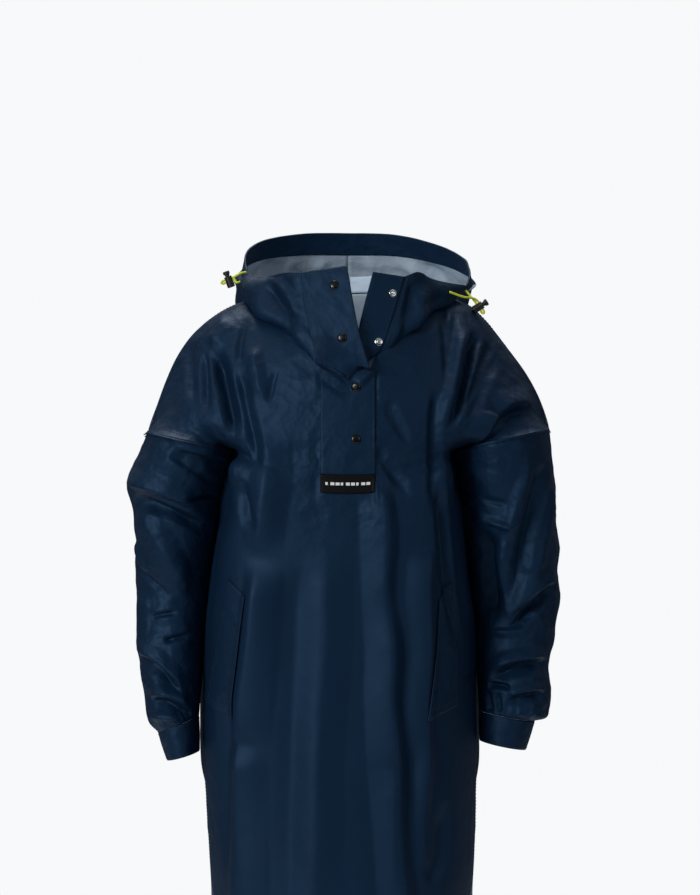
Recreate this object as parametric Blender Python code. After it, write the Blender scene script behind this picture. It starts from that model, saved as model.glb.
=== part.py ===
"""A child's pull-over rain smock, worn: thin coated nylon over empty space.

Front faces -Y, the wearer's left is +X, the origin is between the shoulders at neck height.
Every cloth piece is a grid of outer points with an inner wall behind it, and neighbours stop
one seam gap apart. Tables are in millimetres and are turned to metres when they are read.
"""
import math

import bmesh
import bpy
import numpy as np
from mathutils import Matrix

MM = 0.001
WALL = 1.5 * MM            # coated nylon with its seam tape
GAP = 0.3 * MM             # left between neighbouring pieces
HEM_Z = -740.0
UNDERARM_Z = -143.0
PLACKET_HALF = 25.5        # half the width of the placket strip
LABEL_FOOT = -184.5        # the row that ends at the underarm starts here at the middle
LABEL_TOP = -166.5

# Body below the arms: height, half width right and left of the wearer, depth in front and behind
BODY = (
    # z, right, left, front, back
    (-740, 134, 124, 133, 128),
    (-650, 130, 118, 130, 124),
    (-571, 131, 119, 127, 119),
    (-538, 135, 123, 126, 117),
    (-500, 137, 124, 125, 115),
    (-456, 140, 125, 124, 113),
    (-403, 142, 125, 122, 111),
    (-336, 137, 121, 119, 109),
    (-256, 129, 112, 115, 107),
    (-203, 120, 105, 112, 106),
    (-172, 113, 101, 111, 106),
    (-143, 107, 98, 110, 105),
)
# Below the top of the side vents the back panel spreads wider than the front one
VENT_TOP = -533.0
VENT_SPREAD = 24.0         # how much wider the back is at the hem
BOXY = (0.64, 0.88)        # how square the body's sections are at mid length and at the underarm
VENT_OPEN = 10.0           # how far the vent's edges part in depth at the hem

# Shoulder seam from the armhole's outer point to the neck: distance out from the middle, height
SHOULDER_RIGHT = (
    # out, z
    (195, -125),
    (185, -96),
    (176, -72),
    (163, -46),
    (145, -24),
    (122, -8),
    (104, 1),
    (84, 6),
)
SHOULDER_LEFT = (
    # out, z
    (196, -122),
    (187, -94),
    (175, -71),
    (160, -50),
    (146, -32),
    (133, -16),
    (116, -1),
    (90, 8),
)
NECK_FRONT = (-98.0, -78.0)   # depth and height of the neckline's front point
NECK_BACK = (72.0, 12.0)
CHEST_TOP = {-1: (-105.0, -104.0), 1: (101.0, -66.0)}   # middle of the row that ends at the armhole's top

PANEL_CELLS = {-1: (12, 7, 7, 17), 1: (15, 5, 6, 10)}   # rows on torso, armhole and shoulder, columns
EASE_ROUNDS = 14
# How a panel's rows reach the armhole: direction out, back and up, reach, how square the row is
ARRIVE = (
    # share round the armhole, out, back, up, reach, squareness
    (0.0, 0.0, 1.0, 0.25, 97, 0.88),
    (0.15, 0.45, 0.85, 0.3, 60, 0.84),
    (0.3, 0.75, 0.55, 0.0, 40, 0.8),
    (0.45, 0.55, 0.2, -0.75, 42, 0.7),
    (0.65, 0.35, 0.1, -0.9, 46, 0.6),
    (0.85, 0.25, 0.35, -0.85, 46, 0.52),
    (1.0, 0.15, 0.8, -0.5, 44, 0.48),
)

# Sleeves: outer and inner edge of each ring as distance out and height, its middle in depth, half depth
SLEEVE_RIGHT = (
    # out x, out z, in x, in z, middle y, half depth
    (195, -125, 107, -143, 0, 74),
    (204, -146, 112, -158, 1, 72),
    (213, -166, 115, -172, 3, 70),
    (216, -179, 118.5, -186, 5, 68),
    (211, -198, 122, -203, 7, 66),
    (206, -222, 126.5, -228, 9, 62),
    (208, -254, 131, -256, 11, 57),
    (206, -290, 134.5, -290, 8, 51),
    (205, -341, 139.5, -336, -4, 46),
    (201, -368, 141, -358, -12, 43),
    (196, -391, 142.6, -378, -18, 40),
    (192, -405, 143.6, -391, -22, 36),
    (184, -416, 144.1, -400, -24, 31),
)
SLEEVE_LEFT = (
    (196, -122, 98, -143, 0, 74),
    (199, -150, 101.8, -158, 1, 72),
    (202, -192, 105.6, -192, 4, 68),
    (205, -230, 111.5, -230, 8, 64),
    (207, -274, 117, -274, 12, 58),
    (208, -295, 119, -292, 12, 53),
    (203, -312, 121.5, -312, 6, 49),
    (199, -331, 122.9, -330, 0, 46),
    (195, -350, 124.2, -350, -8, 44),
    (195, -392, 126.3, -383, -18, 40),
    (190, -403, 126.7, -392, -21, 36),
    (181, -405, 126.8, -395, -23, 31),
)
CUFF_RIGHT = (
    (183.8, -416.4, 144.2, -400.4, -24, 30.8),
    (175, -443, 143.6, -434, -25, 31),
)
CUFF_LEFT = (
    (180.7, -405.4, 126.9, -395.4, -23, 30.8),
    (172, -433, 127.2, -424, -24, 31),
)

AROUND = 20                # points round a sleeve or cuff
SLEEVE_RINGS = 18

# Placket flap above the neckline: its two edges, from just over the panel to the collar's top
FLAP = (
    # share, left x, left y, left z, right x, right y, right z
    (0.00, -28.5, -101, -57, 21.5, -107, -66),
    (0.25, -34.5, -98, -38, 13, -106, -42),
    (0.60, -41, -88, -7, 5, -98, -4),
    (1.00, -45, -78, 26, -1, -86, 32),
)
UNDERLAP = (
    (0.0, 7, -95, -44, 35, -91, -40),
    (0.45, 14, -90, -12, 45, -81, -8),
    (1.0, 24, -82, 26, 54, -71, 22),
)
# Collar sides: top edge from the placket strip round to the hood's front end, and how far the cloth
# between it and the neckline bellies out, sags at its foot and rolls over at its top
COLLAR_RIGHT = (
    # share, top x, top y, top z, belly out, sag, roll
    (0.0, -45.3, -78, 26, 1, 0, 0),
    (0.25, -59, -66, 26, 3, 0, 0),
    (0.5, -71, -48, 25, 8, 2, 1),
    (0.75, -84, -24, 24, 18, 5, 4),
    (1.0, -97, 4, 28, 17, 7, 2),
)
COLLAR_LEFT = (
    (0.0, 54.3, -71, 22, 1, 0, 0),
    (0.3, 68, -60, 27, 3, 0, 0),
    (0.6, 82, -42, 21, 7, 2, 2),
    (0.8, 100, -24, 18, 9, 4, 1),
    (1.0, 116, -4, 17, 8, 5, 0),
)
STRIP_ROWS = 7             # rows of the placket strips above the neckline
# Hood laid back: its rim from the wearer's right end round behind the neck to the left end, and the
# bottom of the bag that it hangs in, by the same shares
RIM = (
    # share, rim x, rim y, rim z, bag x, bag y, bag z
    (0.0, -99, 8, 28, -94, 12, 12),
    (0.1, -102, 26, 43, -91, 34, 6),
    (0.2, -98, 48, 56, -101, 68, -20),
    (0.3, -80, 72, 67, -98, 104, -62),
    (0.4, -43, 97, 74, -60, 128, -100),
    (0.5, 0, 106, 75, 0, 135, -114),
    (0.6, 46, 97, 73, 60, 128, -100),
    (0.7, 84, 72, 63, 100, 104, -62),
    (0.8, 108, 48, 51, 108, 68, -18),
    (0.9, 120, 24, 38, 105, 34, 7),
    (1.0, 121, 0, 18, 110, 8, 10),
)
BRIM = 22.0                # width of the doubled band round the hood's opening
BRIM_STARTS = 0.68         # share of the collar's last line where the band takes over
BRIM_ROWS = (0.035, 0.35, 0.7, 1.0)
HOOD_LINES = 23            # profiles round the hood, one of them on its middle seam
HOOD_STEPS = 12            # steps along each profile

CORD_RADIUS = 1.1
CORD_POINTS = 26
# Cord locks: middle, direction toward the button, direction in which the cord passes
LOCKS = {
    "right": ((-116, -3, 22), (-0.35, 0.0, 0.935), (-0.935, 0.0, -0.35)),
    "left": ((127.5, -17, -4.2),  (0.85, -0.05, 0.52), (0.52, 0.0, -0.85)),
}
# Drawcord routes from where the cord leaves the brim to the lock, upper strand and lower strand
CORDS = {
    "right": (((-99.5, 0.5, 30), (-104, -2, 29)), ((-105.0, -5.2, 20.5), (-108.3, -6, 19.5))),
    "left": (((98.1, -34.4, 9), (110, -28, 5)), ((114.4, -7.1, 11.5), (119, -12, 6))),
}
TRAVEL = 2.0               # how far a lock's button goes in
STRANDS = 5.2              # room for the two strands side by side along the lock
SLOT_WIDE = 2.8
SLOT_LONG = 24.0
BARREL = ((0, -6.1), (2.75, -6.1), (2.75, 3.8), (3.4, 3.8), (3.8, 3.2), (3.8, -6.6), (3.3, -7.2))
PLUNGER = ((0, 9.2), (2.9, 9.0), (3.3, 8.4), (3.3, 6.1), (2.45, 6.1), (2.45, -3.8))

SNAP_PLACES = ((-13, 13), (-5.7, -38), (7.6, -84), (7.6, -132.5))   # x, z on the flap
STUD_PLACES = ((43, 5), (29, -40))                                  # x, z on the underlap
SNAP = ((0, 1.9), (2.2, 1.8), (3.6, 1.4), (4.5, 0.8), (4.7, 0.0))     # cap: radius, height
STUD = ((0, 2.6), (1.5, 2.6), (1.9, 2.2), (1.7, 1.4), (1.8, 0.9), (3.6, 0.8), (3.9, 0.0))
# Pocket welts: x, z of their corners, from the top inner one round by the outer side
WELT_RIGHT = ((-97, -281), (-112, -266), (-135, -388), (-109, -400))
WELT_LEFT = ((85, -283), (100, -268), (104, -386), (75, -397))
WELT_LIFT = {"right": 2.5, "left": 0.2}    # the right one bridges the long ridge

# Long folds that a column of points follows on each side: height, distance out from the middle
RIDGE_COLUMN = {-1: 9, 1: 5}
RIDGES = {
    -1: {-1: ((-740, 99), (-640, 103), (-432, 109), (-320, 95), (-144, 74), (-60, 84), (10, 92)),
         1: ((-740, 60), (-640, 56), (-380, 38), (-170, 38), (-100, 46), (0, 62), (10, 64))},
    1: {-1: ((-740, 88), (-640, 84), (-200, 60), (-100, 62), (10, 66)),
        1: ((-740, 62), (-680, 58), (-180, 40), (-100, 46), (10, 58))},
}

# Folds in front view: where each starts and ends, how far it falls away to either side, its height
FOLDS = (
    # x0, z0, x1, z1, width toward the low side, width toward the high side, height (minus: a trough)
    (-132, -40, -106, -138, 16, 16, -15),
    (-106, -20, -84, -200, 16, 20, 11),
    (-74, -144, -109, -432, 13, 28, 17),
    (-109, -380, -103, -660, 13, 28, 16),
    (38, -170, 38, -390, 22, 13, 15),
    (38, -350, 56, -660, 24, 13, 16),
    (62, -170, 78, -580, 18, 20, -11),
    (124, -25, 100, -140, 15, 15, -15),
    (98, -20, 80, -140, 16, 16, 10),
    (92, -170, 114, -352, 12, 14, 10),
    (-10, -230, -24, -600, 30, 24, 6),
    (-60, -470, -66, -700, 20, 20, -8),
)
BACK_FOLDS = (
    (-118, -40, -96, -150, 10, 10, -10),
    (-92, -60, -70, -230, 12, 14, 6),
    (110, -40, 92, -150, 9, 9, -10),
    (88, -50, 74, -260, 12, 12, 6),
    (-60, -200, -84, -640, 22, 18, 16),
    (-24, -260, -30, -700, 22, 22, -12),
    (40, -180, 58, -680, 20, 24, 16),
    (84, -240, 96, -620, 16, 16, -8),
)
SLEEVE_FOLDS = {
    -1: (
        (-215, -178, -134, -206, 10, 7, -12),
        (-208, -196, -140, -250, 10, 16, 6),
        (-204, -150, -124, -166, 8, 8, 5),
        (-200, -255, -150, -330, 14, 10, -5),
        (-206, -336, -150, -372, 9, 9, -7),
        (-204, -352, -150, -388, 8, 8, 5),
        (-190, -378, -148, -396, 6, 6, -6),
    ),
    1: (
        (208, -272, 150, -314, 9, 8, -12),
        (204, -262, 156, -300, 10, 10, 7),
        (188, -148, 150, -300, 10, 12, 6),
        (196, -160, 172, -290, 12, 10, -6),
        (128, -316, 196, -308, 7, 7, -7),
        (134, -354, 190, -348, 7, 7, -8),
        (144, -382, 190, -378, 6, 6, -6),
    ),
}


def spline(table, column, at):
    """One column of a table against its first column, as a smooth curve through every row."""
    rows = np.array(table, float)
    key, value = rows[:, 0], rows[:, column]
    slope = np.gradient(value, key)
    return hermite(key, value, slope, np.asarray(at, float))


def hermite(key, value, slope, at):
    """Cubic pieces with the given slopes, from key to key."""
    at = np.clip(at, key[0], key[-1])
    i = np.clip(np.searchsorted(key, at, side="right") - 1, 0, len(key) - 2)
    span = key[i + 1] - key[i]
    u = (at - key[i]) / span
    return (
        value[i] * (1 + 2 * u) * (1 - u) ** 2
        + value[i + 1] * u * u * (3 - 2 * u)
        + slope[i] * span * u * (1 - u) ** 2
        - slope[i + 1] * span * u * u * (1 - u)
    )


def along(points, at):
    """A smooth curve through a short list of points, read at fractions from 0 to 1 of its length."""
    points = np.array(points, float)
    steps = np.linalg.norm(np.diff(points, axis=0), axis=1)
    key = np.concatenate([[0], np.cumsum(steps)]) / steps.sum()
    at = np.asarray(at, float)
    columns = [hermite(key, p, np.gradient(p, key), at) for p in points.T]
    return np.stack(columns, axis=-1)


def bezier(p0, p1, p2, p3, at):
    """Points along a cubic curve with handles p1 and p2."""
    at = at[:, None]
    return (1 - at) ** 3 * p0 + 3 * at * (1 - at) ** 2 * p1 + 3 * at * at * (1 - at) * p2 + at**3 * p3


def smooth(low, high, value):
    """0 below low, 1 above high and an easy curve between."""
    u = np.clip((value - low) / (high - low), 0, 1)
    return u * u * (3 - 2 * u)


def fold_height(x, z, folds):
    """Sum of all folds at front-view places: a rounded crest along each line, faded at its ends."""
    total = np.zeros_like(x)
    for x0, z0, x1, z1, low, high, height in folds:
        run = np.array([x1 - x0, z1 - z0], float)
        length = np.hypot(*run)
        u = ((x - x0) * run[0] + (z - z0) * run[1]) / length**2
        side = ((x - x0) * -run[1] + (z - z0) * run[0]) / length
        width = np.where(side > 0, high, low)
        ends = smooth(-0.08, 0.22, u) * smooth(1.08, 0.7, u)
        total += height * ends * np.exp(-np.abs(side / width) ** 1.3)
    return total


def normals_of(points, turn=1.0):
    """Unit normals of a grid of points, from the differences along its rows and columns."""
    across = np.gradient(points, axis=1)
    up = np.gradient(points, axis=0)
    normal = np.cross(across, up) * turn
    return normal / np.maximum(np.linalg.norm(normal, axis=-1, keepdims=True), 1e-9)


def armhole(side, face, angle):
    """Armhole point and its outward direction, from 0 at the underarm to pi at the top."""
    table = SLEEVE_RIGHT if side < 0 else SLEEVE_LEFT
    return ring(table[0], side, -face * angle)


def ring(row, side, angle):
    """A ring of a sleeve or cuff at angles from its inner edge round by the front."""
    out_x, out_z, in_x, in_z, middle_y, depth = row
    outer = np.array([side * out_x, middle_y, out_z], float)
    inner = np.array([side * in_x, middle_y, in_z], float)
    half = (outer - inner) / 2
    size = np.linalg.norm(half)
    angle = np.asarray(angle, float)[..., None]
    forward = np.array([0.0, -1.0, 0.0])
    point = (outer + inner) / 2 - np.cos(angle) * half + np.sin(angle) * depth * forward
    outward = -np.cos(angle) * half / size / size + np.sin(angle) / depth * forward
    return point, outward / np.linalg.norm(outward, axis=-1, keepdims=True)


def panel_rows(face, torso, arm, shoulder):
    """Row stations of a panel: 0 to 1 up the torso, 1 to 2 round the armhole, 2 to 3 to the neck."""
    first = (LABEL_TOP - LABEL_FOOT) / (CHEST_TOP[face][1] - LABEL_FOOT) if face < 0 else 1 / arm
    return np.concatenate([
        np.linspace(0, 1, torso + 1),
        np.linspace(1 + first, 2, arm),
        2 + np.arange(1, shoulder + 1) / shoulder,
    ])


def panel_row(face, side, station):
    """Middle and edge of one row of a half panel, with the handles that its curve needs, in mm."""
    body = 3 if face < 0 else 4
    width = 1 if side < 0 else 2
    neck = NECK_FRONT if face < 0 else NECK_BACK
    depth_1, height_1 = CHEST_TOP[face]
    if station <= 1:
        z = HEM_Z + station * (UNDERARM_Z - HEM_Z)
        middle_z = HEM_Z + station * (LABEL_FOOT - HEM_Z)
        vent = np.clip((VENT_TOP - z) / (VENT_TOP - HEM_Z), 0, 1) ** 1.4
        depth = spline(BODY, body, middle_z)
        x = spline(BODY, width, z) + (face > 0) * VENT_SPREAD * vent
        middle = np.array([0.0, face * depth, middle_z])
        edge = np.array([side * x, face * VENT_OPEN * vent, z])
        square = BOXY[0] + (BOXY[1] - BOXY[0]) * smooth(-480, UNDERARM_Z, z)
        return middle, edge, np.array([square * x, 0, 0]), np.array([0, -face * square * depth, 0])
    depth_0 = face * spline(BODY, body, LABEL_FOOT)
    if station <= 2:
        u = station - 1
        point, _ = armhole(side, face, math.pi * u)
        middle = np.array([0.0, depth_0 + (depth_1 - depth_0) * u, LABEL_FOOT + (height_1 - LABEL_FOOT) * u])
        out, back, rise, reach, square = blend_rows(ARRIVE, u)
        arrive = np.array([side * out, -face * back, rise])
        arrive *= reach / np.linalg.norm(arrive)
        return middle, point, np.array([square * abs(point[0]), 0, 0]), arrive
    u = station - 2
    seam = np.array(SHOULDER_RIGHT if side < 0 else SHOULDER_LEFT, float)
    x, z = along(seam, [u])[0]
    middle = np.array([0.0, depth_1 + (neck[0] - depth_1) * u, height_1 + (neck[1] - height_1) * u])
    lean = u**3
    leave = np.array([0.48 * x, 0, (0.45 if face < 0 else 0.05) * lean * x])
    reach = 42 + (0.5 * abs(neck[0]) - 42) * u
    arrive = np.array([0, -face, 0.6 * lean - 0.25])
    return middle, np.array([side * x, 0.0, z]), leave, arrive * reach


def ease(points, stations):
    """Pull the cloth even with its seams held.

    Up each column only the depth is evened; round the armhole each point moves toward the middle of
    its four neighbours.
    """
    share = np.linspace(0, 1, points.shape[1])[None, :]
    level = np.asarray(stations)[:, None]
    by_arm = smooth(0.35, 0.75, share) * smooth(1.1, 1.45, level) * smooth(2.7, 2.2, level)
    inner = (1 - by_arm) * (1 - smooth(0.5, 0.9, share))
    step = np.linalg.norm(np.diff(points, axis=0), axis=-1)
    for _ in range(EASE_ROUNDS):
        depth = points[..., 1]
        between = (depth[:-2] * step[1:] + depth[2:] * step[:-1]) / (step[1:] + step[:-1])
        points[1:-1, :-1, 1] += 0.6 * ((between - depth[1:-1]) * inner[1:-1])[:, :-1]
        near = (points[:-2, 1:-1] + points[2:, 1:-1] + points[1:-1, :-2] + points[1:-1, 2:]) / 4
        points[1:-1, 1:-1] += 0.6 * (near - points[1:-1, 1:-1]) * by_arm[1:-1, 1:-1, None]
    return points


def half_panel(face, side, stations, columns, folds):
    """Outer points and wall directions of one half of the front (face -1) or back (face 1)."""
    placket = np.linspace(0, PLACKET_HALF, 4) if face < 0 else np.linspace(0, PLACKET_HALF, 2)
    fractions = np.linspace(0, 1, columns + 1)[1:]
    fine = np.linspace(0, 1, 160)
    points = []
    for station in stations:
        middle, edge, leave, arrive = panel_row(face, side, station)
        leave = leave * np.array([side, 1, 1])
        curve = bezier(middle, middle + leave, edge - arrive, edge, fine)
        length = np.concatenate([[0], np.cumsum(np.linalg.norm(np.diff(curve, axis=0), axis=1))])
        strip_at = np.interp(placket, np.abs(curve[:60, 0]), length[:60])
        ridge_x = np.interp(curve[:, 2], *np.array(RIDGES[face][side], float).T)
        ridge_at = length[np.argmin(np.abs(np.abs(curve[:, 0]) - ridge_x))]
        share = (ridge_at - strip_at[-1]) / (length[-1] - strip_at[-1])
        ridge_share = RIDGE_COLUMN[side] / columns if face < 0 else 0.5
        share = np.interp(fractions, [0, ridge_share, 1], [0, np.clip(share, 0.15, 0.85), 1])
        at = np.concatenate([strip_at, strip_at[-1] + share * (length[-1] - strip_at[-1])])
        points.append(np.stack([np.interp(at, length, curve[:, k]) for k in range(3)], axis=-1))
    points = ease(np.array(points), stations)
    normals = normals_of(points, -face * side)
    away = smooth(0.0, 0.28, 1 - np.linspace(0, 1, points.shape[1]))[None, :]
    away = away * smooth(3.0, 2.8, stations)[:, None]
    by_arm = smooth(0.9, 1.1, stations) * smooth(2.5, 2.0, stations)
    away = away * (1 - by_arm[:, None] * smooth(0.45, 0.8, np.linspace(0, 1, points.shape[1]))[None, :])
    lift = fold_height(points[..., 0], points[..., 2], folds) * away
    points = points + normals * lift[..., None]
    return points, seam_normals(points, normals_of(points, -face * side), face, side, stations)


def seam_normals(points, normals, face, side, stations):
    """Wall directions at the seams, the same on both pieces that meet there."""
    normals[:, 0] = [0, face, 0] if abs(points[0, 0, 0]) < 1e-6 else normals[:, 0]
    normals[:, 0, 0] = 0
    normals[:, 0] /= np.linalg.norm(normals[:, 0], axis=-1, keepdims=True)
    for i, station in enumerate(stations):
        if station <= 1:
            normals[i, -1] = [side, 0, 0]
        elif station < 2:
            _, outward = armhole(side, face, math.pi * (station - 1))
            share = float(smooth(0.2, 0.5, station - 1))
            blend = normals[i, -1] * (1 - share) + outward * share
            normals[i, -1] = blend / np.linalg.norm(blend)
        else:
            table = np.array(SHOULDER_RIGHT if side < 0 else SHOULDER_LEFT, float)
            u = np.clip([station - 2.02, station - 1.98], 0, 1)
            run = np.diff(along(table, u), axis=0)[0]
            normals[i, -1] = np.array([-run[1] * -side, 0, -run[0]]) / np.hypot(*run)
    return normals


def make_panel(face, folds):
    """Both halves of a panel joined at the middle, in metres, left edge first."""
    torso, arm, shoulder, columns = PANEL_CELLS[face]
    stations = panel_rows(face, torso, arm, shoulder)
    right, right_n = half_panel(face, -1, stations, columns, folds)
    left, left_n = half_panel(face, 1, stations, columns, folds)
    points = np.concatenate([right[:, ::-1], left[:, 1:]], axis=1)
    normals = np.concatenate([right_n[:, ::-1], left_n[:, 1:]], axis=1)
    back_off = np.zeros_like(points)
    back_off[:, 0, 1] = back_off[:, -1, 1] = face * GAP / 2 / MM
    return (points + back_off) * MM, normals, stations


def make_sleeve(table, side):
    """A tube of rings from the armhole to the cuff, with the first one seam gap below the armhole."""
    rows = np.array(table, float)
    middles = (rows[:, :2] + rows[:, 2:4]) / 2
    steps = np.concatenate([[0], np.cumsum(np.linalg.norm(np.diff(middles, axis=0), axis=1))])
    at = np.linspace(0, 1, SLEEVE_RINGS + 1) * steps[-1]
    keyed = np.column_stack([steps, rows])
    values = np.stack([spline(keyed, k, at) for k in range(1, 7)], axis=-1)
    angle = np.linspace(0, 2 * math.pi, AROUND, endpoint=False)
    points = np.array([ring(row, side, angle)[0] for row in values])
    normals = np.array([ring(row, side, angle)[1] for row in values])
    at_ends = smooth(0.0, 0.12, at / steps[-1]) * smooth(1.0, 0.9, at / steps[-1])
    facing = 0.35 + 0.65 * np.abs(normals[..., 1])
    lift = fold_height(points[..., 0], points[..., 2], SLEEVE_FOLDS[side]) * at_ends[:, None] * facing
    clear = smooth(0.35, 0.9, normals[..., 0] * -side)
    points += normals * (lift * (1 - clear))[..., None]
    down = np.array([-side * 0.15, 0, -1.0])
    points[0] += down * (GAP / MM) + np.outer(smooth(0.2, 0.8, np.cos(angle)), [side * 1.6, 0, -1.6])
    return points * MM, normals


def make_cuff(table, side):
    """A plain band between two rings."""
    share = np.linspace(0, 1, 4)[:, None]
    rows = np.array(table[0], float) * (1 - share) + np.array(table[1], float) * share
    angle = np.linspace(0, 2 * math.pi, AROUND, endpoint=False)
    points = np.array([ring(row, side, angle)[0] for row in rows])
    normals = np.array([ring(row, side, angle)[1] for row in rows])
    return points * MM, normals


def blend_rows(table, at, first=1):
    """The columns of a table from the one numbered first, at the given shares."""
    return np.stack([spline(table, k, at) for k in range(first, len(table[0]))], axis=-1)


def strip(table, across, steps, lower):
    """A strip between two edges, each a row of the table, after the rows given as lower."""
    rows = blend_rows(table, np.linspace(0, 1, steps))
    share = np.linspace(0, 1, across + 1)[None, :, None]
    points = rows[:, None, :3] * (1 - share) + rows[:, None, 3:] * share
    return np.concatenate([lower, points * MM])


def collar_line(base, table, share, at):
    """One line of a collar side, from the neckline out over its belly to the top edge."""
    top_x, top_y, top_z, belly, sag, roll = blend_rows(table, share)
    top = np.array([top_x, top_y, top_z])
    out = np.array([top_x, top_y, 0]) / math.hypot(top_x, top_y)
    up = np.array([0, 0, 1.0])
    low = base + (top - base) * 0.33 + out * belly * 1.2 - up * sag
    high = base + (top - base) * 0.67 + out * belly * 1.2 + up * roll
    return bezier(base, low, high, top, at)


def collar_side(base, table, edge, edge_normals, turn):
    """Collar cloth from the neckline up to its top edge, starting along the placket strip's edge."""
    b = np.linspace(0, 1, len(edge))
    shares = np.linspace(0, 1, len(base))
    points = np.array([collar_line(p, table, share, b) for p, share in zip(base, shares)]).transpose(1, 0, 2)
    near = np.exp(-np.arange(len(base)) / 1.2)[None, :, None]
    points += (edge[:, None] - points[:, :1]) * near
    normals = normals_of(points, turn)
    normals[:, 0] = edge_normals
    return points, normals


def hood_profile(seam, share, steps):
    """One line of the hood and of its brim: from the neck seam over, down inside the bag and up.

    The first and last lines lie along the end of the collar sides.
    """
    rim_x, rim_y, rim_z, bag_x, bag_y, bag_z = blend_rows(RIM, share)
    full = max(math.sin(math.pi * share), 0.0) ** 0.7
    rim, bag = np.array([rim_x, rim_y, rim_z]), np.array([bag_x, bag_y, bag_z])
    out = np.array([bag_x, bag_y, 0]) / math.hypot(bag_x, bag_y)
    up = np.array([0, 0, 1.0])
    low = rim + out * 7 * full - up * BRIM * (0.45 + 0.5 * full)
    line = (
        seam,
        seam + out * (2 + 7 * full) + up * (3 + 12 * full),
        (seam + bag) / 2 + out * (4 + 8 * full) + up * 5 * full,
        bag,
        (bag + rim) / 2 + out * (6 + 18 * full),
        low + out * (3 + 8 * full) - up * 12 * full,
        low,
    )
    cloth_line = along(line, np.linspace(0, 1, steps + 1))
    band = low + (rim - low) * np.array(BRIM_ROWS)[:, None]
    table = COLLAR_RIGHT if share < 0.5 else COLLAR_LEFT
    at = np.linspace(0, BRIM_STARTS, steps + 1)
    front_end = collar_line(seam, table, 1.0, at)
    front_band = collar_line(seam, table, 1.0, BRIM_STARTS + (1 - BRIM_STARTS) * np.array(BRIM_ROWS))
    own = float(smooth(0.0, 0.12, min(share, 1 - share)))
    return front_end + (cloth_line - front_end) * own, front_band + (band - front_band) * own


def on_grid(points, normals, places, fine=12):
    """Points and directions on a faceted grid where its front view has the given x and z."""
    rows, columns = points.shape[:2]
    i, j = np.meshgrid(np.linspace(0, rows - 1, (rows - 1) * fine + 1),
                       np.linspace(0, columns - 1, (columns - 1) * fine + 1), indexing="ij")
    sampled, directions = at_index(points, i, j), at_index(normals, i, j)
    found = []
    for x, z in places:
        miss = (sampled[..., 0] - x * MM) ** 2 + (sampled[..., 2] - z * MM) ** 2
        k = np.unravel_index(np.argmin(miss), miss.shape)
        found.append((sampled[k], directions[k] / np.linalg.norm(directions[k]), i[k], j[k]))
    return found


def at_index(grid, i, j):
    """Values between a grid's points, on the two flat triangles of each cell."""
    middle = grid.shape[1] // 2
    r = np.clip(np.floor(i).astype(int), 0, grid.shape[0] - 2)
    c_index = np.clip(np.floor(j).astype(int), 0, grid.shape[1] - 2)
    u, v = (i - r)[..., None], (j - c_index)[..., None]
    a, b, c, d = grid[r, c_index], grid[r, c_index + 1], grid[r + 1, c_index + 1], grid[r + 1, c_index]
    late = np.where(v >= u, a + v * (b - a) + u * (c - b), a + u * (d - a) + v * (c - d))
    early = np.where(u + v <= 1, a + v * (b - a) + u * (d - a), c + (1 - v) * (d - c) + (1 - u) * (b - c))
    return np.where((c_index < middle)[..., None], early, late)


def turned(name, profile, place, direction, lift, sides=14):
    """A small turned piece standing on a place: profile of radius and height, closed underneath."""
    angle = np.linspace(0, 2 * math.pi, sides, endpoint=False)
    helper = np.array([0, 0, 1.0])
    x_axis = np.cross(helper, direction)
    x_axis /= np.linalg.norm(x_axis)
    y_axis = np.cross(direction, x_axis)
    points = [place + direction * (profile[0][1] * MM + lift)]
    for radius, height in profile[1:]:
        for a in angle:
            around = x_axis * math.cos(a) + y_axis * math.sin(a)
            points.append(place + around * radius * MM + direction * (height * MM + lift))
    faces = [(0, 1 + k, 1 + (k + 1) % sides) for k in range(sides)]
    for level in range(len(profile) - 2):
        low, high = 1 + (level + 1) * sides, 1 + level * sides
        faces += [(high + k, low + k, low + (k + 1) % sides, high + (k + 1) % sides) for k in range(sides)]
    last = 1 + (len(profile) - 2) * sides
    faces.append(tuple(last + k for k in reversed(range(sides))))
    mesh = bpy.data.meshes.new(name)
    mesh.from_pydata([tuple(p) for p in points], [], faces)
    return mesh


def material(name, colour, roughness, metallic=0.0):
    """A plain Principled material."""
    made = bpy.data.materials.new(name)
    made.use_nodes = True
    shader = made.node_tree.nodes["Principled BSDF"]
    shader.inputs["Base Color"].default_value = (*colour, 1)
    shader.inputs["Roughness"].default_value = roughness
    shader.inputs["Metallic"].default_value = metallic
    return made


def cells(index, middle):
    """Two triangles for each cell of a grid, with diagonals that mirror each other about a middle column."""
    a, b, c, d = index[:-1, :-1], index[:-1, 1:], index[1:, 1:], index[1:, :-1]
    first = np.arange(a.shape[1])[None, :] < middle
    one = np.where(first[..., None], np.stack([a, b, d], -1), np.stack([a, b, c], -1))
    two = np.where(first[..., None], np.stack([b, c, d], -1), np.stack([a, c, d], -1))
    return np.concatenate([one.reshape(-1, 3), two.reshape(-1, 3)])


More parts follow.
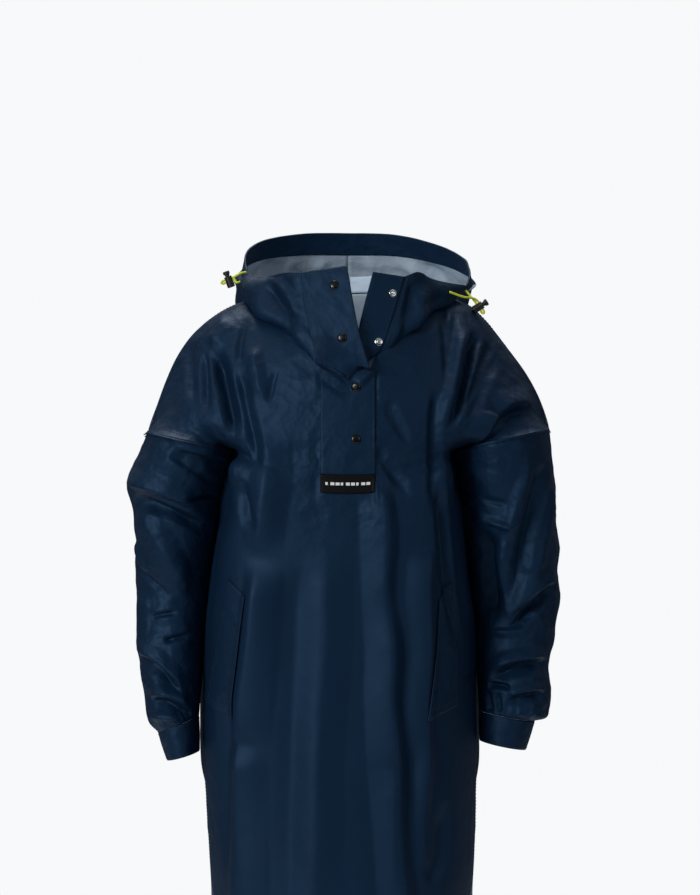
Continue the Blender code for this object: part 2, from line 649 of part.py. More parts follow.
def cloth(name, outer, normals, wall=WALL, tube=False, middle=0):
    """A closed wall: the outer grid, the same grid one wall further in, and rims round its edges."""
    rows, columns = outer.shape[:2]
    inner = outer - normals * wall
    count = rows * columns
    index = np.arange(count).reshape(rows, columns)
    if tube:
        index = np.concatenate([index, index[:, :1]], axis=1)
    faces = cells(index, middle)
    faces = np.concatenate([faces, faces[:, ::-1] + count])
    loops = [index[0], index[-1, ::-1]]
    if not tube:
        loops += [index[::-1, 0], index[:, -1]]
    rims = []
    for loop in loops:
        p, q = loop[:-1], loop[1:]
        rims.append(np.stack([q, p, p + count, q + count], -1))
    mesh = bpy.data.meshes.new(name)
    points = np.concatenate([outer.reshape(-1, 3), inner.reshape(-1, 3)])
    mesh.from_pydata(points.tolist(), [], faces.tolist() + np.concatenate(rims).tolist())
    made = bmesh.new()
    made.from_mesh(mesh)
    if made.calc_volume(signed=True) < 0:
        bmesh.ops.reverse_faces(made, faces=made.faces)
    made.to_mesh(mesh)
    made.free()
    mesh.shade_smooth()
    return mesh


def add(name, mesh, surface):
    """One named piece in the smock's collection."""
    mesh.materials.append(surface)
    piece = bpy.data.objects.new(name, mesh)
    bpy.data.collections["rain_smock"].objects.link(piece)
    return piece


def build_body(nylon):
    """Front and back panels; the front's points also carry what lies on it."""
    front, front_n, stations = make_panel(-1, FOLDS)
    add("body_front", cloth("body_front", front, front_n, middle=front.shape[1] // 2), nylon)
    back, back_n, _ = make_panel(1, BACK_FOLDS)
    add("body_back", cloth("body_back", back, back_n, middle=back.shape[1] // 2), nylon)
    return front, front_n, stations, back


def build_placket(front, front_n, stations, nylon, black, steel):
    """Flap with snap caps, underlap with studs, and the bare patch at the placket's foot."""
    middle = front.shape[1] // 2
    columns = slice(middle - 3, middle + 4)
    foot = int(np.argmin(np.abs(stations - 1)))
    on_panel = front[foot + 1:, columns] + front_n[foot + 1:, columns] * (GAP + WALL)
    flap = strip(FLAP, 6, STRIP_ROWS, on_panel)
    flap_n = normals_of(flap)
    add("placket_flap", cloth("placket_flap", flap, flap_n, middle=3), nylon)
    neck = front[-1, middle:middle + 4] + np.array([0, 0.7, 0.8]) * MM
    under = strip(UNDERLAP, 3, STRIP_ROWS, neck[None])
    under_n = normals_of(under)
    add("placket_underlap", cloth("placket_underlap", under, under_n), nylon)
    patch, patch_n = front[foot:foot + 2, columns], front_n[foot:foot + 2, columns]
    rise = GAP + 1.4 * MM
    patch = patch + patch_n * rise - np.array([0, 0, 1]) * GAP
    add("label_patch", cloth("label_patch", patch, patch_n, 1.2 * MM, middle=3), black)
    for k, (place, direction, _, _) in enumerate(on_grid(flap, flap_n, SNAP_PLACES)):
        add(f"snap_cap_{k + 1}", turned("snap_cap", SNAP, place, direction, GAP + 0.2 * MM), black)
    for k, (place, direction, _, _) in enumerate(on_grid(under, under_n, STUD_PLACES)):
        add(f"snap_stud_{k + 1}", turned("snap_stud", STUD, place, direction, GAP + 0.2 * MM), steel)
    return (flap, flap_n), (under, under_n)


def build_collar(front, flap, under, nylon):
    """The two sides of the stand collar, from the placket strips round to the hood."""
    middle = front.shape[1] // 2
    lift = np.array([0, 0, GAP + 0.5 * MM])
    aside = np.array([GAP + 0.2 * MM, 0, 0])
    up = slice(-STRIP_ROWS - 1, None)
    edge = flap[0][up, 0] - aside
    edge[0] += lift
    points, normals = collar_side(
        (front[-1, middle - 3::-2] + lift) / MM, COLLAR_RIGHT, edge / MM, flap[1][up, 0], -1)
    add("collar_right", cloth("collar_right", points * MM, normals), nylon)
    edge = under[0][:, -1] + aside
    points, normals = collar_side(
        (front[-1, middle + 3::2] + lift) / MM, COLLAR_LEFT, edge / MM, under[1][:, -1], 1)
    add("collar_left", cloth("collar_left", points * MM, normals), nylon)


def build_hood(back, nylon):
    """Two halves of the hood laid back, and the doubled band round its opening."""
    shares = np.linspace(0, 1, HOOD_LINES)
    seam = along(back[-1] / MM + np.array([0, 0, 0.8]), shares)
    lines = [hood_profile(p, share, HOOD_STEPS) for p, share in zip(seam, shares)]
    half = HOOD_LINES // 2
    grid = np.array([line[0] for line in lines])
    grid[[0, -1], :, 1] += 0.8
    band = np.array([line[1] for line in lines]).transpose(1, 0, 2) * MM
    band[:, [0, -1], 1] += 0.8 * MM
    band_n = -normals_of(band)
    add("hood_brim", cloth("hood_brim", band, band_n), nylon)
    for label, part, step in (("right", slice(0, half + 1), -1), ("left", slice(half, None), 1)):
        points = grid[part].transpose(1, 0, 2) * MM
        normals = -normals_of(points)
        normals[-1] = band_n[0, part]
        seam_column = -1 if step < 0 else 0
        normals[:, seam_column, 0] = 0
        normals[:, seam_column] /= np.linalg.norm(normals[:, seam_column], axis=-1, keepdims=True)
        points[:, seam_column, 0] += step * GAP / 2
        add(f"hood_{label}", cloth(f"hood_{label}", points, normals), nylon)


def cord_route(label):
    """A drawcord's loop: out of the brim, through the lock, round and back beside itself."""
    middle, axis, way = (np.array(v, float) for v in LOCKS[label])
    axis /= np.linalg.norm(axis)
    way = way - axis * np.dot(way, axis)
    way /= np.linalg.norm(way)
    upper, lower = (np.array(v, float) for v in CORDS[label])
    half = axis * (CORD_RADIUS + 0.15)
    passes = [middle + half - way * 5, middle + half, middle + half + way * 4.5]
    loop = [middle + half * 0.9 + way * 6.6, middle + way * 7.8, middle - half * 0.9 + way * 6.6]
    back = [middle - half + way * 4.5, middle - half, middle - half - way * 5]
    return np.array([*upper, *passes, *loop, *back, *lower[::-1]])


def build_cords(yellow, black):
    """Drawcord loops at the hood's front ends, each with a lock whose button is pressed to slide it."""
    for label, (middle, axis, way) in LOCKS.items():
        route = along(cord_route(label), np.linspace(0, 1, CORD_POINTS)) * MM
        line = bpy.data.curves.new(f"drawcord_{label}", "CURVE")
        line.dimensions = "3D"
        line.bevel_depth = CORD_RADIUS * MM
        line.bevel_resolution = 2
        line.render_resolution_u = 0
        line.use_fill_caps = True
        run = line.splines.new("POLY")
        run.points.add(len(route) - 1)
        run.points.foreach_set("co", np.column_stack([route, np.ones(len(route))]).ravel())
        add(f"drawcord_{label}", line, yellow)
        place, direction = np.array(middle) * MM, np.array(axis) / np.linalg.norm(axis)
        for name, profile, height, rise in (
            ("cord_lock_barrel", BARREL, STRANDS, 0.0),
            ("cord_lock_plunger", PLUNGER, STRANDS + TRAVEL, TRAVEL / 2),
        ):
            mesh = turned(name, profile, place, direction, 0.0, 16)
            made = add(f"{name}_{label}", mesh, black)
            cut_slot(made, place + direction * rise * MM, direction, np.array(way), height)


def cut_slot(piece, place, axis, way, height):
    """Cut a slot for the strands through a piece of a lock."""
    way = way - axis * np.dot(way, axis)
    way /= np.linalg.norm(way)
    mesh = bpy.data.meshes.new("slot")
    box = bmesh.new()
    bmesh.ops.create_cube(box, size=1.0)
    frame = np.eye(4)
    sides = (way * SLOT_LONG, np.cross(axis, way) * SLOT_WIDE, axis * height)
    frame[:3, :3] = np.array(sides).T * MM
    frame[:3, 3] = place
    box.transform(Matrix(frame.tolist()))
    box.to_mesh(mesh)
    box.free()
    cutter = bpy.data.objects.new("slot", mesh)
    cutter.hide_render = True
    cutter.display_type = "WIRE"
    bpy.data.collections["cutters"].objects.link(cutter)
    cut = piece.modifiers.new("slot", "BOOLEAN")
    cut.operation = "DIFFERENCE"
    cut.solver = "EXACT"
    cut.object = cutter


def build_pockets(front, front_n, nylon):
    """Slanted welts of the side-front pockets, laid on the panel."""
    for label, corners in (("right", WELT_RIGHT), ("left", WELT_LEFT)):
        found = on_grid(front, front_n, corners)
        index = np.array([[f[2], f[3]] for f in found])
        u, v = np.meshgrid(np.linspace(0, 1, 11), np.linspace(0, 1, 6), indexing="ij")
        u, v = u[..., None], v[..., None]
        at = (index[0] * (1 - v) + index[1] * v) * (1 - u) + (index[3] * (1 - v) + index[2] * v) * u
        base, direction = at_index(front, at[..., 0], at[..., 1]), at_index(front_n, at[..., 0], at[..., 1])
        direction /= np.linalg.norm(direction, axis=-1, keepdims=True)
        points = base + direction * (GAP + WELT_LIFT[label] * MM + WALL)
        add(f"pocket_welt_{label}", cloth(f"pocket_welt_{label}", points, direction), nylon)


def build_sleeves(nylon):
    """Two sleeves and their cuffs."""
    for label, side, sleeve, cuff in (
        ("right", -1, SLEEVE_RIGHT, CUFF_RIGHT),
        ("left", 1, SLEEVE_LEFT, CUFF_LEFT),
    ):
        points, normals = make_sleeve(sleeve, side)
        add(f"sleeve_{label}", cloth(f"sleeve_{label}", points, normals, tube=True), nylon)
        points, normals = make_cuff(cuff, side)
        add(f"cuff_{label}", cloth(f"cuff_{label}", points, normals, tube=True), nylon)


def main():
    for old in list(bpy.data.objects):
        bpy.data.objects.remove(old)
    for name in ("rain_smock", "cutters"):
        bpy.context.scene.collection.children.link(bpy.data.collections.new(name))
    nylon = material("coated nylon, navy", (0.012, 0.024, 0.055), 0.45)
    black = material("black lacquer", (0.01, 0.01, 0.012), 0.3)
    steel = material("nickel plated brass", (0.8, 0.8, 0.8), 0.2, 1.0)
    front, front_n, stations, back = build_body(nylon)
    build_sleeves(nylon)
    flap, under = build_placket(front, front_n, stations, nylon, black, steel)
    build_collar(front, flap, under, nylon)
    build_hood(back, nylon)
    build_pockets(front, front_n, nylon)
    build_cords(material("yellow cord", (0.75, 0.85, 0.02), 0.6), black)


main()
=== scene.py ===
# A child's rain smock in coated nylon, in its worn form: cloth, trims, cords and light round its solids.
# Lengths in the tables are millimetres. Front faces -Y, the wearer's left is +X.
import math

import bpy
import numpy as np
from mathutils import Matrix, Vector


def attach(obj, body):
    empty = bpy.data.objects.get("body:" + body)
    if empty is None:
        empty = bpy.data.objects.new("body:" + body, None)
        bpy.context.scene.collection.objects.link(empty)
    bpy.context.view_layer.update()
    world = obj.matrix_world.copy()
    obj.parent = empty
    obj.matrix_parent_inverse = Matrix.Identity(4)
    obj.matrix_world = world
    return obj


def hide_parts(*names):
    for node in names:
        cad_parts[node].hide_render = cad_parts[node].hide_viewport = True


mm = 0.001
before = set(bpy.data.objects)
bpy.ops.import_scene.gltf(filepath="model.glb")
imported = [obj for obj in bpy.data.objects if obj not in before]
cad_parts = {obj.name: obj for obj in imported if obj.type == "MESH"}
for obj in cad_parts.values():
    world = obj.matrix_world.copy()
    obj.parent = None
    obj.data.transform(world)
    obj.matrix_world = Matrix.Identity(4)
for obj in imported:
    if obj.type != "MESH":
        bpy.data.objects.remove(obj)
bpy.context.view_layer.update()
root = "smock"
sides = (("right", -1), ("left", 1))
print("frame loaded:", len(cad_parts), "nodes")

cameraSetup = {"place": (0.0019, -3.2, -0.141), "lens": 132.0, "sensor": 36.0, "near": 0.1, "far": 50.0}


def addObject(name, data):
    # an object at the origin, in the scene
    holder = bpy.data.objects.new(name, data)
    bpy.context.scene.collection.objects.link(holder)
    return holder


def makeCamera(setup):
    # level, looking along +Y
    data = bpy.data.cameras.new("camera")
    data.lens, data.sensor_width = setup["lens"], setup["sensor"]
    data.clip_start, data.clip_end = setup["near"], setup["far"]
    holder = addObject("camera", data)
    holder.location = setup["place"]
    holder.rotation_euler = (math.radians(90), 0, 0)
    bpy.context.scene.camera = holder


makeCamera(cameraSetup)
print("camera set")


def ease(low, high, value):
    # 0 below low, 1 above high, an easy curve between
    u = np.clip((value - low) / (high - low), 0, 1)
    return u * u * (3 - 2 * u)


def within(share, rise, fall):
    # 1 in the middle, eased to 0 over the first and the last part of a share from 0 to 1
    return ease(0, rise, share) * ease(1, 1 - fall, share)


def hill(distance, width):
    # a bell: 1 at no distance, falling by the square of distance over width
    return np.exp(-(distance / width) ** 2)


def hermite(key, value, at):
    # cubic pieces through every value, with slopes taken from the neighbours
    slope = np.gradient(value, key)
    at = np.clip(np.asarray(at, float), key[0], key[-1])
    i = np.clip(np.searchsorted(key, at, side="right") - 1, 0, len(key) - 2)
    span = key[i + 1] - key[i]
    u = (at - key[i]) / span
    return (value[i] * (1 + 2 * u) * (1 - u) ** 2 + value[i + 1] * u * u * (3 - 2 * u)
            + slope[i] * span * u * (1 - u) ** 2 - slope[i + 1] * span * u * u * (1 - u))


def readTable(table, column, at):
    # one column of a table at places in its first column
    rows = np.array(table, float)
    return hermite(rows[:, 0], rows[:, column], at)


def blendRows(table, at):
    # all columns after the first at places in the first
    return np.stack([readTable(table, k, at) for k in range(1, len(table[0]))], axis=-1)


def runOf(points):
    # length run along the first axis, up to each point
    steps = np.linalg.norm(np.diff(points, axis=0), axis=-1)
    return np.concatenate([np.zeros_like(steps[:1]), np.cumsum(steps, axis=0)])


def along(points, at):
    # a smooth curve through a short list of points, read at shares of its length
    points = np.array(points, float)
    key = runOf(points)
    return np.stack([hermite(key / key[-1], p, at) for p in points.T], axis=-1)


def bezier(p0, p1, p2, p3, at):
    # a cubic from p0 to p3 with its handles at p1 and p2
    at = np.asarray(at, float)[:, None]
    return (1 - at) ** 3 * p0 + 3 * at * (1 - at) ** 2 * p1 + 3 * at * at * (1 - at) * p2 + at**3 * p3


def unit(vectors):
    # each vector over its length
    return vectors / np.maximum(np.linalg.norm(vectors, axis=-1, keepdims=True), 1e-12)


def normalsOf(points, turn=1.0, wrap=False):
    # cross product of the differences along the columns and the rows
    if wrap:
        across = (np.roll(points, -1, axis=1) - np.roll(points, 1, axis=1)) / 2
    else:
        across = np.gradient(points, axis=1)
    return unit(np.cross(across, np.gradient(points, axis=0)) * turn)


def fineRows(count, finer):
    # coarse row numbers of the fine rows; finer is one number, or one for each stretch between rows
    finer = np.broadcast_to(finer, count - 1)
    return np.concatenate([k + np.arange(n) / n for k, n in enumerate(finer)] + [[count - 1]])


def refineDown(grid, finer):
    # cubic runs down each column through all its points; each slope leans to its shorter neighbour, so
    # that uneven rows don't loop
    run = np.diff(grid, axis=0)
    step = np.maximum(np.linalg.norm(run, axis=-1, keepdims=True), 1e-9)
    run = run / step
    inner = (run[:-1] * step[1:] + run[1:] * step[:-1]) / (step[1:] + step[:-1])
    slope = np.concatenate([run[:1], inner, run[-1:]])
    at = fineRows(len(grid), finer)
    k = np.minimum(np.floor(at).astype(int), len(grid) - 2)
    u = (at - k)[:, None, None]
    return (grid[k] * (1 + 2 * u) * (1 - u) ** 2 + grid[k + 1] * u * u * (3 - 2 * u)
            + step[k] * (slope[k] * u * (1 - u) ** 2 - slope[k + 1] * u * u * (1 - u)))


def refine(grid, rowsFiner, columnsFiner):
    # finer rows down the columns, then finer columns along the rows
    return refineDown(refineDown(grid, rowsFiner).transpose(1, 0, 2), columnsFiner).transpose(1, 0, 2)


def noise(points, size, seed):
    # smooth noise from 0 to 1: random values on a cubic lattice, eased from corner to corner
    lattice = np.random.default_rng(seed).random((24, 24, 24))
    at = points / size + 1000.0
    cell = np.floor(at).astype(int)
    u = at - cell
    u = u * u * (3 - 2 * u)
    total = np.zeros(points.shape[:-1])
    for corner in np.ndindex(2, 2, 2):
        share = np.prod(np.where(corner, u, 1 - u), axis=-1)
        i, j, k = np.moveaxis((cell + corner) % 24, -1, 0)
        total += share * lattice[i, j, k]
    return total


def folds(points, table, waver=3.0, seed=5):
    # Sum of all folds at front-view places. Each is a bent line through three points with a rounded
    # tent across it, wide by its own widths to the left and right of its run, and faded at its ends.
    wander = (np.stack([noise(points, 55.0, seed), noise(points, 55.0, seed + 1)], -1) - 0.5) * 2 * waver
    place = points[..., [0, 2]] + wander
    total = np.zeros(points.shape[:-1])
    t = np.linspace(0, 1, 15)[:, None]
    for *spots, left, right, height in table:
        start, bend, end = np.array(spots, float).reshape(3, 2)
        pull = 2 * bend - (start + end) / 2
        line = (1 - t) ** 2 * start + 2 * t * (1 - t) * pull + t * t * end
        reach = max(left, right) * 1.6
        near = np.all((place > line.min(0) - reach) & (place < line.max(0) + reach), axis=-1)
        spot = place[near]
        best, side, share = np.full(len(spot), 1e9), np.zeros(len(spot)), np.zeros(len(spot))
        for k, run in enumerate(np.diff(line, axis=0)):
            u = np.clip(((spot - line[k]) @ run) / (run @ run), 0, 1)
            off = spot - (line[k] + u[:, None] * run)
            far = np.hypot(*off.T)
            closer = far < best
            best = np.where(closer, far, best)
            side = np.where(closer, run[0] * off[:, 1] - run[1] * off[:, 0], side)
            share = np.where(closer, (k + u) / (len(line) - 1), share)
        q = best / np.where(side > 0, left, right)
        tent = np.clip(1.06 - np.sqrt(q * q + 0.0036), 0, 1)
        total[near] += height * within(share, 0.25, 0.28) * (0.75 * tent + 0.25 * ease(0, 1, tent))
    return total


def cells(points, size, seed):
    # distance from each point to the nearest of one jittered seed per lattice cell, in cells: flat
    # hollows with straight creases between them, as in crisp cloth
    jitter = np.random.default_rng(seed).random((16, 16, 16, 3))
    at = points / size + 800.0
    cell = np.floor(at).astype(int)
    best = np.full(points.shape[:-1], 9.0)
    for step in np.ndindex(3, 3, 3):
        near = cell + np.array(step) - 1
        i, j, k = np.moveaxis(near % 16, -1, 0)
        best = np.minimum(best, ((near + jitter[i, j, k] - at) ** 2).sum(-1))
    return np.sqrt(best)


def crumple(points, size, height, seed, stretch=(1, 1, 1)):
    # creases between flat hollows in two sizes, bent by smooth noise and drawn out along a pull
    bent = points + 0.35 * size * (noise(points, size * 1.3, seed + 5)[..., None] - 0.5)
    bent = bent * np.array(stretch, float)
    coarse, fine = cells(bent, size, seed), cells(bent, size * 0.45, seed + 7)
    return height * (1.5 * coarse + 0.55 * fine - 1.1) * ease(0.25, 0.75, noise(points, size * 1.8, seed + 9))


def puckers(distance, run, length, reach, height, seed):
    # short waves that stand square to a seam and die away from it
    lane = np.stack([run / length, np.zeros_like(run), np.zeros_like(run)], -1)
    return 2 * height * (noise(lane, 0.5, seed) - 0.5) * np.exp(-distance / reach)


def hexColour(text):
    # sRGB hex to linear
    s = np.array([int(text[k:k + 2], 16) for k in (1, 3, 5)]) / 255
    linear = np.where(s <= 0.04045, s / 12.92, ((s + 0.055) / 1.055) ** 2.4)
    return (*[float(c) for c in linear], 1.0)


def addNode(tree, kind, settings=None, links=None, feeds=None):
    # one node: settings by attribute or input, links from its inputs to other nodes' outputs, and
    # feeds from its outputs to other nodes' inputs
    node = tree.nodes.new(kind)
    for key, value in (settings or {}).items():
        if isinstance(key, str) and key not in node.inputs:
            setattr(node, key, value)
        else:
            node.inputs[key].default_value = value
    for key, source in (links or {}).items():
        tree.links.new(source, node.inputs[key])
    for key, target in (feeds or {}).items():
        tree.links.new(node.outputs[key], target)
    return node


def startMaterial(name, colour, roughness, **inputs):
    # a Principled surface, with its tree and its shader's inputs
    made = bpy.data.materials.new(name)
    made.use_nodes = True
    shader = made.node_tree.nodes["Principled BSDF"]
    for key, value in {"Base Color": hexColour(colour), "Roughness": roughness, **inputs}.items():
        shader.inputs[key].default_value = value
    return made, made.node_tree, shader.inputs


nylonSetup = {
    "outside": ("#071a2f", "#0a2036", 0.55), "inside": ("#b9c7d3", "#a5b5c4", 0.5),  # new, worn, roughness
    "gloss": "#8cbdf0",
    "threads": 1.1,                          # really 0.2 mm apart, drawn coarser so that it shows at all
    "crinkles": ((14.0, 1.3), (6.0, 0.4)),   # size and depth of the creases between its flat facets
}


def nylonMaterial(name, colour, worn, roughness, setup):
    # Polyamide taffeta, woven from flat filament and coated: a crisp cloth with a low broad gloss
    # and a faint crinkle that breaks up its highlights.
    made, tree, shader = startMaterial(name, colour, roughness, **{
        "IOR": 1.5, "Specular IOR Level": 0.45, "Specular Tint": hexColour(setup["gloss"])})
    place = addNode(tree, "ShaderNodeTexCoord").outputs["Object"]
    sewn = addNode(tree, "ShaderNodeUVMap", {"uv_map": "cloth"}).outputs["UV"]
    blotch = addNode(tree, "ShaderNodeTexNoise", {"Scale": 14.0, "Detail": 3.0}, {"Vector": place})
    blotch = blotch.outputs["Fac"]
    addNode(tree, "ShaderNodeMix", {"data_type": "RGBA", 6: hexColour(colour), 7: hexColour(worn)},
            {"Factor": blotch}, {2: shader["Base Color"]})
    addNode(tree, "ShaderNodeMapRange", {"To Min": roughness - 0.05, "To Max": roughness + 0.07},
            {"Value": blotch}, {"Result": shader["Roughness"]})
    busy = addNode(tree, "ShaderNodeAttribute", {"attribute_name": "crumpled"}).outputs["Fac"]
    below = {}
    for size, height in setup["crinkles"]:
        drift = addNode(tree, "ShaderNodeTexNoise", {"Scale": 700 / size, "Detail": 2.0}, {"Vector": place})
        bent = addNode(tree, "ShaderNodeVectorMath", {"operation": "MULTIPLY_ADD", 1: (0.0006 * size,) * 3},
                       {0: drift.outputs["Color"], 2: place})
        facets = addNode(tree, "ShaderNodeTexVoronoi", {"Scale": 1000 / size}, {"Vector": bent.outputs["Vector"]})
        calm = addNode(tree, "ShaderNodeMath", {"operation": "MULTIPLY"},
                       {0: facets.outputs["Distance"], 1: busy})
        rough = addNode(tree, "ShaderNodeBump", {"Strength": 1.0, "Distance": height * mm},
                        {"Height": calm.outputs["Value"], **below})
        below = {"Normal": rough.outputs["Normal"]}
    warp, weft = (addNode(tree, "ShaderNodeTexWave", {"bands_direction": way, "Scale": 314 / setup["threads"]},
                          {"Vector": sewn}).outputs["Fac"] for way in "XY")
    weave = addNode(tree, "ShaderNodeMath", {"operation": "MULTIPLY"}, {0: warp, 1: weft})
    addNode(tree, "ShaderNodeBump", {"Strength": 0.10, "Distance": 0.0002},
            {"Height": weave.outputs["Value"], **below}, {"Normal": shader["Normal"]})
    return made


def plainMaterial(name, colour, roughness, grain, depth, **inputs):
    # a trim's finish with a slight grain, grain in millimetres
    made, tree, shader = startMaterial(name, colour, roughness, **inputs)
    place = addNode(tree, "ShaderNodeTexCoord").outputs["Object"]
    speck = addNode(tree, "ShaderNodeTexNoise", {"Scale": 1000 / grain, "Detail": 3.0}, {"Vector": place})
    speck = speck.outputs["Fac"]
    addNode(tree, "ShaderNodeBump", {"Strength": depth, "Distance": 0.0003}, {"Height": speck},
            {"Normal": shader["Normal"]})
    addNode(tree, "ShaderNodeMapRange", {"To Min": roughness * 0.85, "To Max": min(roughness * 1.2, 1.0)},
            {"Value": speck}, {"Result": shader["Roughness"]})
    return made


def cordMaterial(name, colour, dark):
    # Round braid of textured polyester over an elastic core: soft, matt, with slanted strands.
    made, tree, shader = startMaterial(name, colour, 0.62, **{"Sheen Weight": 0.3})
    sewn = addNode(tree, "ShaderNodeUVMap", {"uv_map": "cloth"}).outputs["UV"]
    turned = addNode(tree, "ShaderNodeMapping", {"Rotation": (0, 0, math.radians(45))}, {"Vector": sewn})
    strands = addNode(tree, "ShaderNodeTexChecker", {
        "Scale": 1250.0, "Color1": hexColour(colour), "Color2": hexColour(dark)},
        {"Vector": turned.outputs["Vector"]}, {"Color": shader["Base Color"]})
    addNode(tree, "ShaderNodeBump", {"Strength": 0.4, "Distance": 0.0003}, {"Height": strands.outputs["Fac"]},
            {"Normal": shader["Normal"]})
    return made


outside = nylonMaterial("coated nylon outside", *nylonSetup["outside"], nylonSetup)
inside = nylonMaterial("coated nylon inside", *nylonSetup["inside"], nylonSetup)
thread = plainMaterial("polyester thread", "#1a2740", 0.55, 0.5, 0.3)
lacquer = plainMaterial("black lacquered brass", "#08080a", 0.25, 0.6, 0.1, **{
    "Specular IOR Level": 0.3, "Coat Weight": 0.15, "Coat Roughness": 0.15})
nickel = plainMaterial("nickel plated brass", "#d8d8d6", 0.2, 0.5, 0.08, Metallic=1.0)
acetal = plainMaterial("moulded black acetal", "#0e0f11", 0.42, 0.4, 0.25)
labelBlack = plainMaterial("black soft-touch label", "#08090b", 0.6, 0.8, 0.3, **{"Specular IOR Level": 0.12})
labelWhite = plainMaterial("white label print", "#e9e9e6", 0.5, 0.6, 0.1)
yellow = cordMaterial("neon braided cord", "#e8f02c", "#c9d410")
print("materials made")


def linkMesh(name, points, faces, surfaces, slots=None, uv=None, crumpled=None):
    # a mesh in metres, with a surface for each face, a place on the cloth and a value of crumple for each point
    mesh = bpy.data.meshes.new(name)
    mesh.from_pydata(points.tolist(), [], [f.tolist() if isinstance(f, np.ndarray) else f for f in faces])
    for surface in surfaces:
        mesh.materials.append(surface)
    if slots is not None:
        mesh.polygons.foreach_set("material_index", np.asarray(slots, np.int32))
    if uv is not None:
        corner = np.empty(len(mesh.loops), np.int32)
        mesh.loops.foreach_get("vertex_index", corner)
        mesh.uv_layers.new(name="cloth").data.foreach_set("uv", uv[corner].astype(np.float32).ravel())
    if crumpled is not None:
        mesh.attributes.new("crumpled", "FLOAT", "POINT").data.foreach_set("value", crumpled.astype(np.float32))
    mesh.shade_smooth()
    mesh.update()
    return addObject(name, mesh)


def settle(piece, replaced=None):
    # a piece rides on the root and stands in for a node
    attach(piece, root)
    if replaced:
        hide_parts(replaced)
    return piece


def closeRound(grid):
    # the first column once more at the end
    return np.concatenate([grid, grid[:, :1]], axis=1)


def quadsOf(index):
    # the four corners of every cell of a grid of point numbers
    return np.stack([index[:-1, :-1], index[:-1, 1:], index[1:, 1:], index[1:, :-1]], -1).reshape(-1, 4)


def flatSize(points, wrap):
    # what the piece was cut to: its longest row, its longest column and its area, in metres
    points = closeRound(points) if wrap else points
    over, down = np.diff(points, axis=1), np.diff(points, axis=0)
    width = np.linalg.norm(over, axis=-1).sum(1).max() * mm
    length = np.linalg.norm(down, axis=-1).sum(0).max() * mm
    halves = np.cross(down[:, :-1], over[:-1]), np.cross(down[:, 1:], over[1:])
    area = min(np.linalg.norm(halves, axis=-1).sum() / 2 * mm * mm, width * length)
    return (round(float(width), 3), round(float(length), 3)), round(float(area), 4)


def shellOf(outer, normals, wall, wrap=False):
    # A closed shell: the outer grid, the same grid one wall further in, and rims. Each quad is cut along
    # its short diagonal, alike on both layers.
    index = np.arange(outer.shape[0] * outer.shape[1]).reshape(outer.shape[:2])
    count = index.size
    index = closeRound(index) if wrap else index
    front, flat = quadsOf(index), outer.reshape(-1, 3)
    one, other = (np.linalg.norm(flat[front[:, k]] - flat[front[:, k + 2]], axis=1) for k in (0, 1))
    front = np.where((other < one)[:, None], np.roll(front, -1, axis=1), front)
    loops = [index[0], index[-1, ::-1]] + ([] if wrap else [index[::-1, 0], index[:, -1]])
    rims = np.concatenate([np.stack([p[1:], p[:-1], p[:-1] + count, p[1:] + count], -1) for p in loops])
    faces = np.concatenate([front, front[:, [0, 3, 2, 1]] + count, rims])
    points = np.concatenate([flat, (outer - normals * wall).reshape(-1, 3)])
    a, b, c = (points[faces[:, k]] for k in range(3))
    if np.einsum("ij,ij->", a, np.cross(b, c)) < 0:
        faces = faces[:, [0, 3, 2, 1]]
    return points * mm, faces, np.repeat([0, 1, 0], [len(front), len(front), len(rims)])


def clothPiece(name, outer, normals, replaced, held="hung", wrap=False, lining=inside, wall=0.7, crumpled=0.7):
    # a thin sheet of cloth, its own run along and across it as its texture plane
    points, faces, slots = shellOf(outer, normals, wall, wrap)
    over, down = runOf(outer.transpose(1, 0, 2)).T, runOf(outer)
    uv = np.stack([over - over.mean(), down], -1).reshape(-1, 2) * mm
    crumpled = np.tile(np.broadcast_to(crumpled, outer.shape[:2]).ravel(), 2)
    piece = linkMesh(name, points, faces, [outside, lining], slots, np.concatenate([uv, uv]), crumpled)
    settle(piece, replaced)
    flat, area = flatSize(outer, wrap)


def readGrid(grid, i, j):
    # values between a grid's points, in index space
    r = np.clip(np.floor(i).astype(int), 0, grid.shape[0] - 2)
    c = np.clip(np.floor(j).astype(int), 0, grid.shape[1] - 2)
    u, v = (i - r)[..., None], (j - c)[..., None]
    return ((1 - u) * (1 - v) * grid[r, c] + (1 - u) * v * grid[r, c + 1]
            + u * (1 - v) * grid[r + 1, c] + u * v * grid[r + 1, c + 1])


def nearestIndex(points, place):
    # grid index of the point that lies closest to a place in front view
    miss = ((points[..., [0, 2]] - place) ** 2).sum(-1)
    return np.unravel_index(np.argmin(miss), miss.shape)


stitchSetup = {"pitch": 3.4, "length": 2.5, "thick": 0.42}


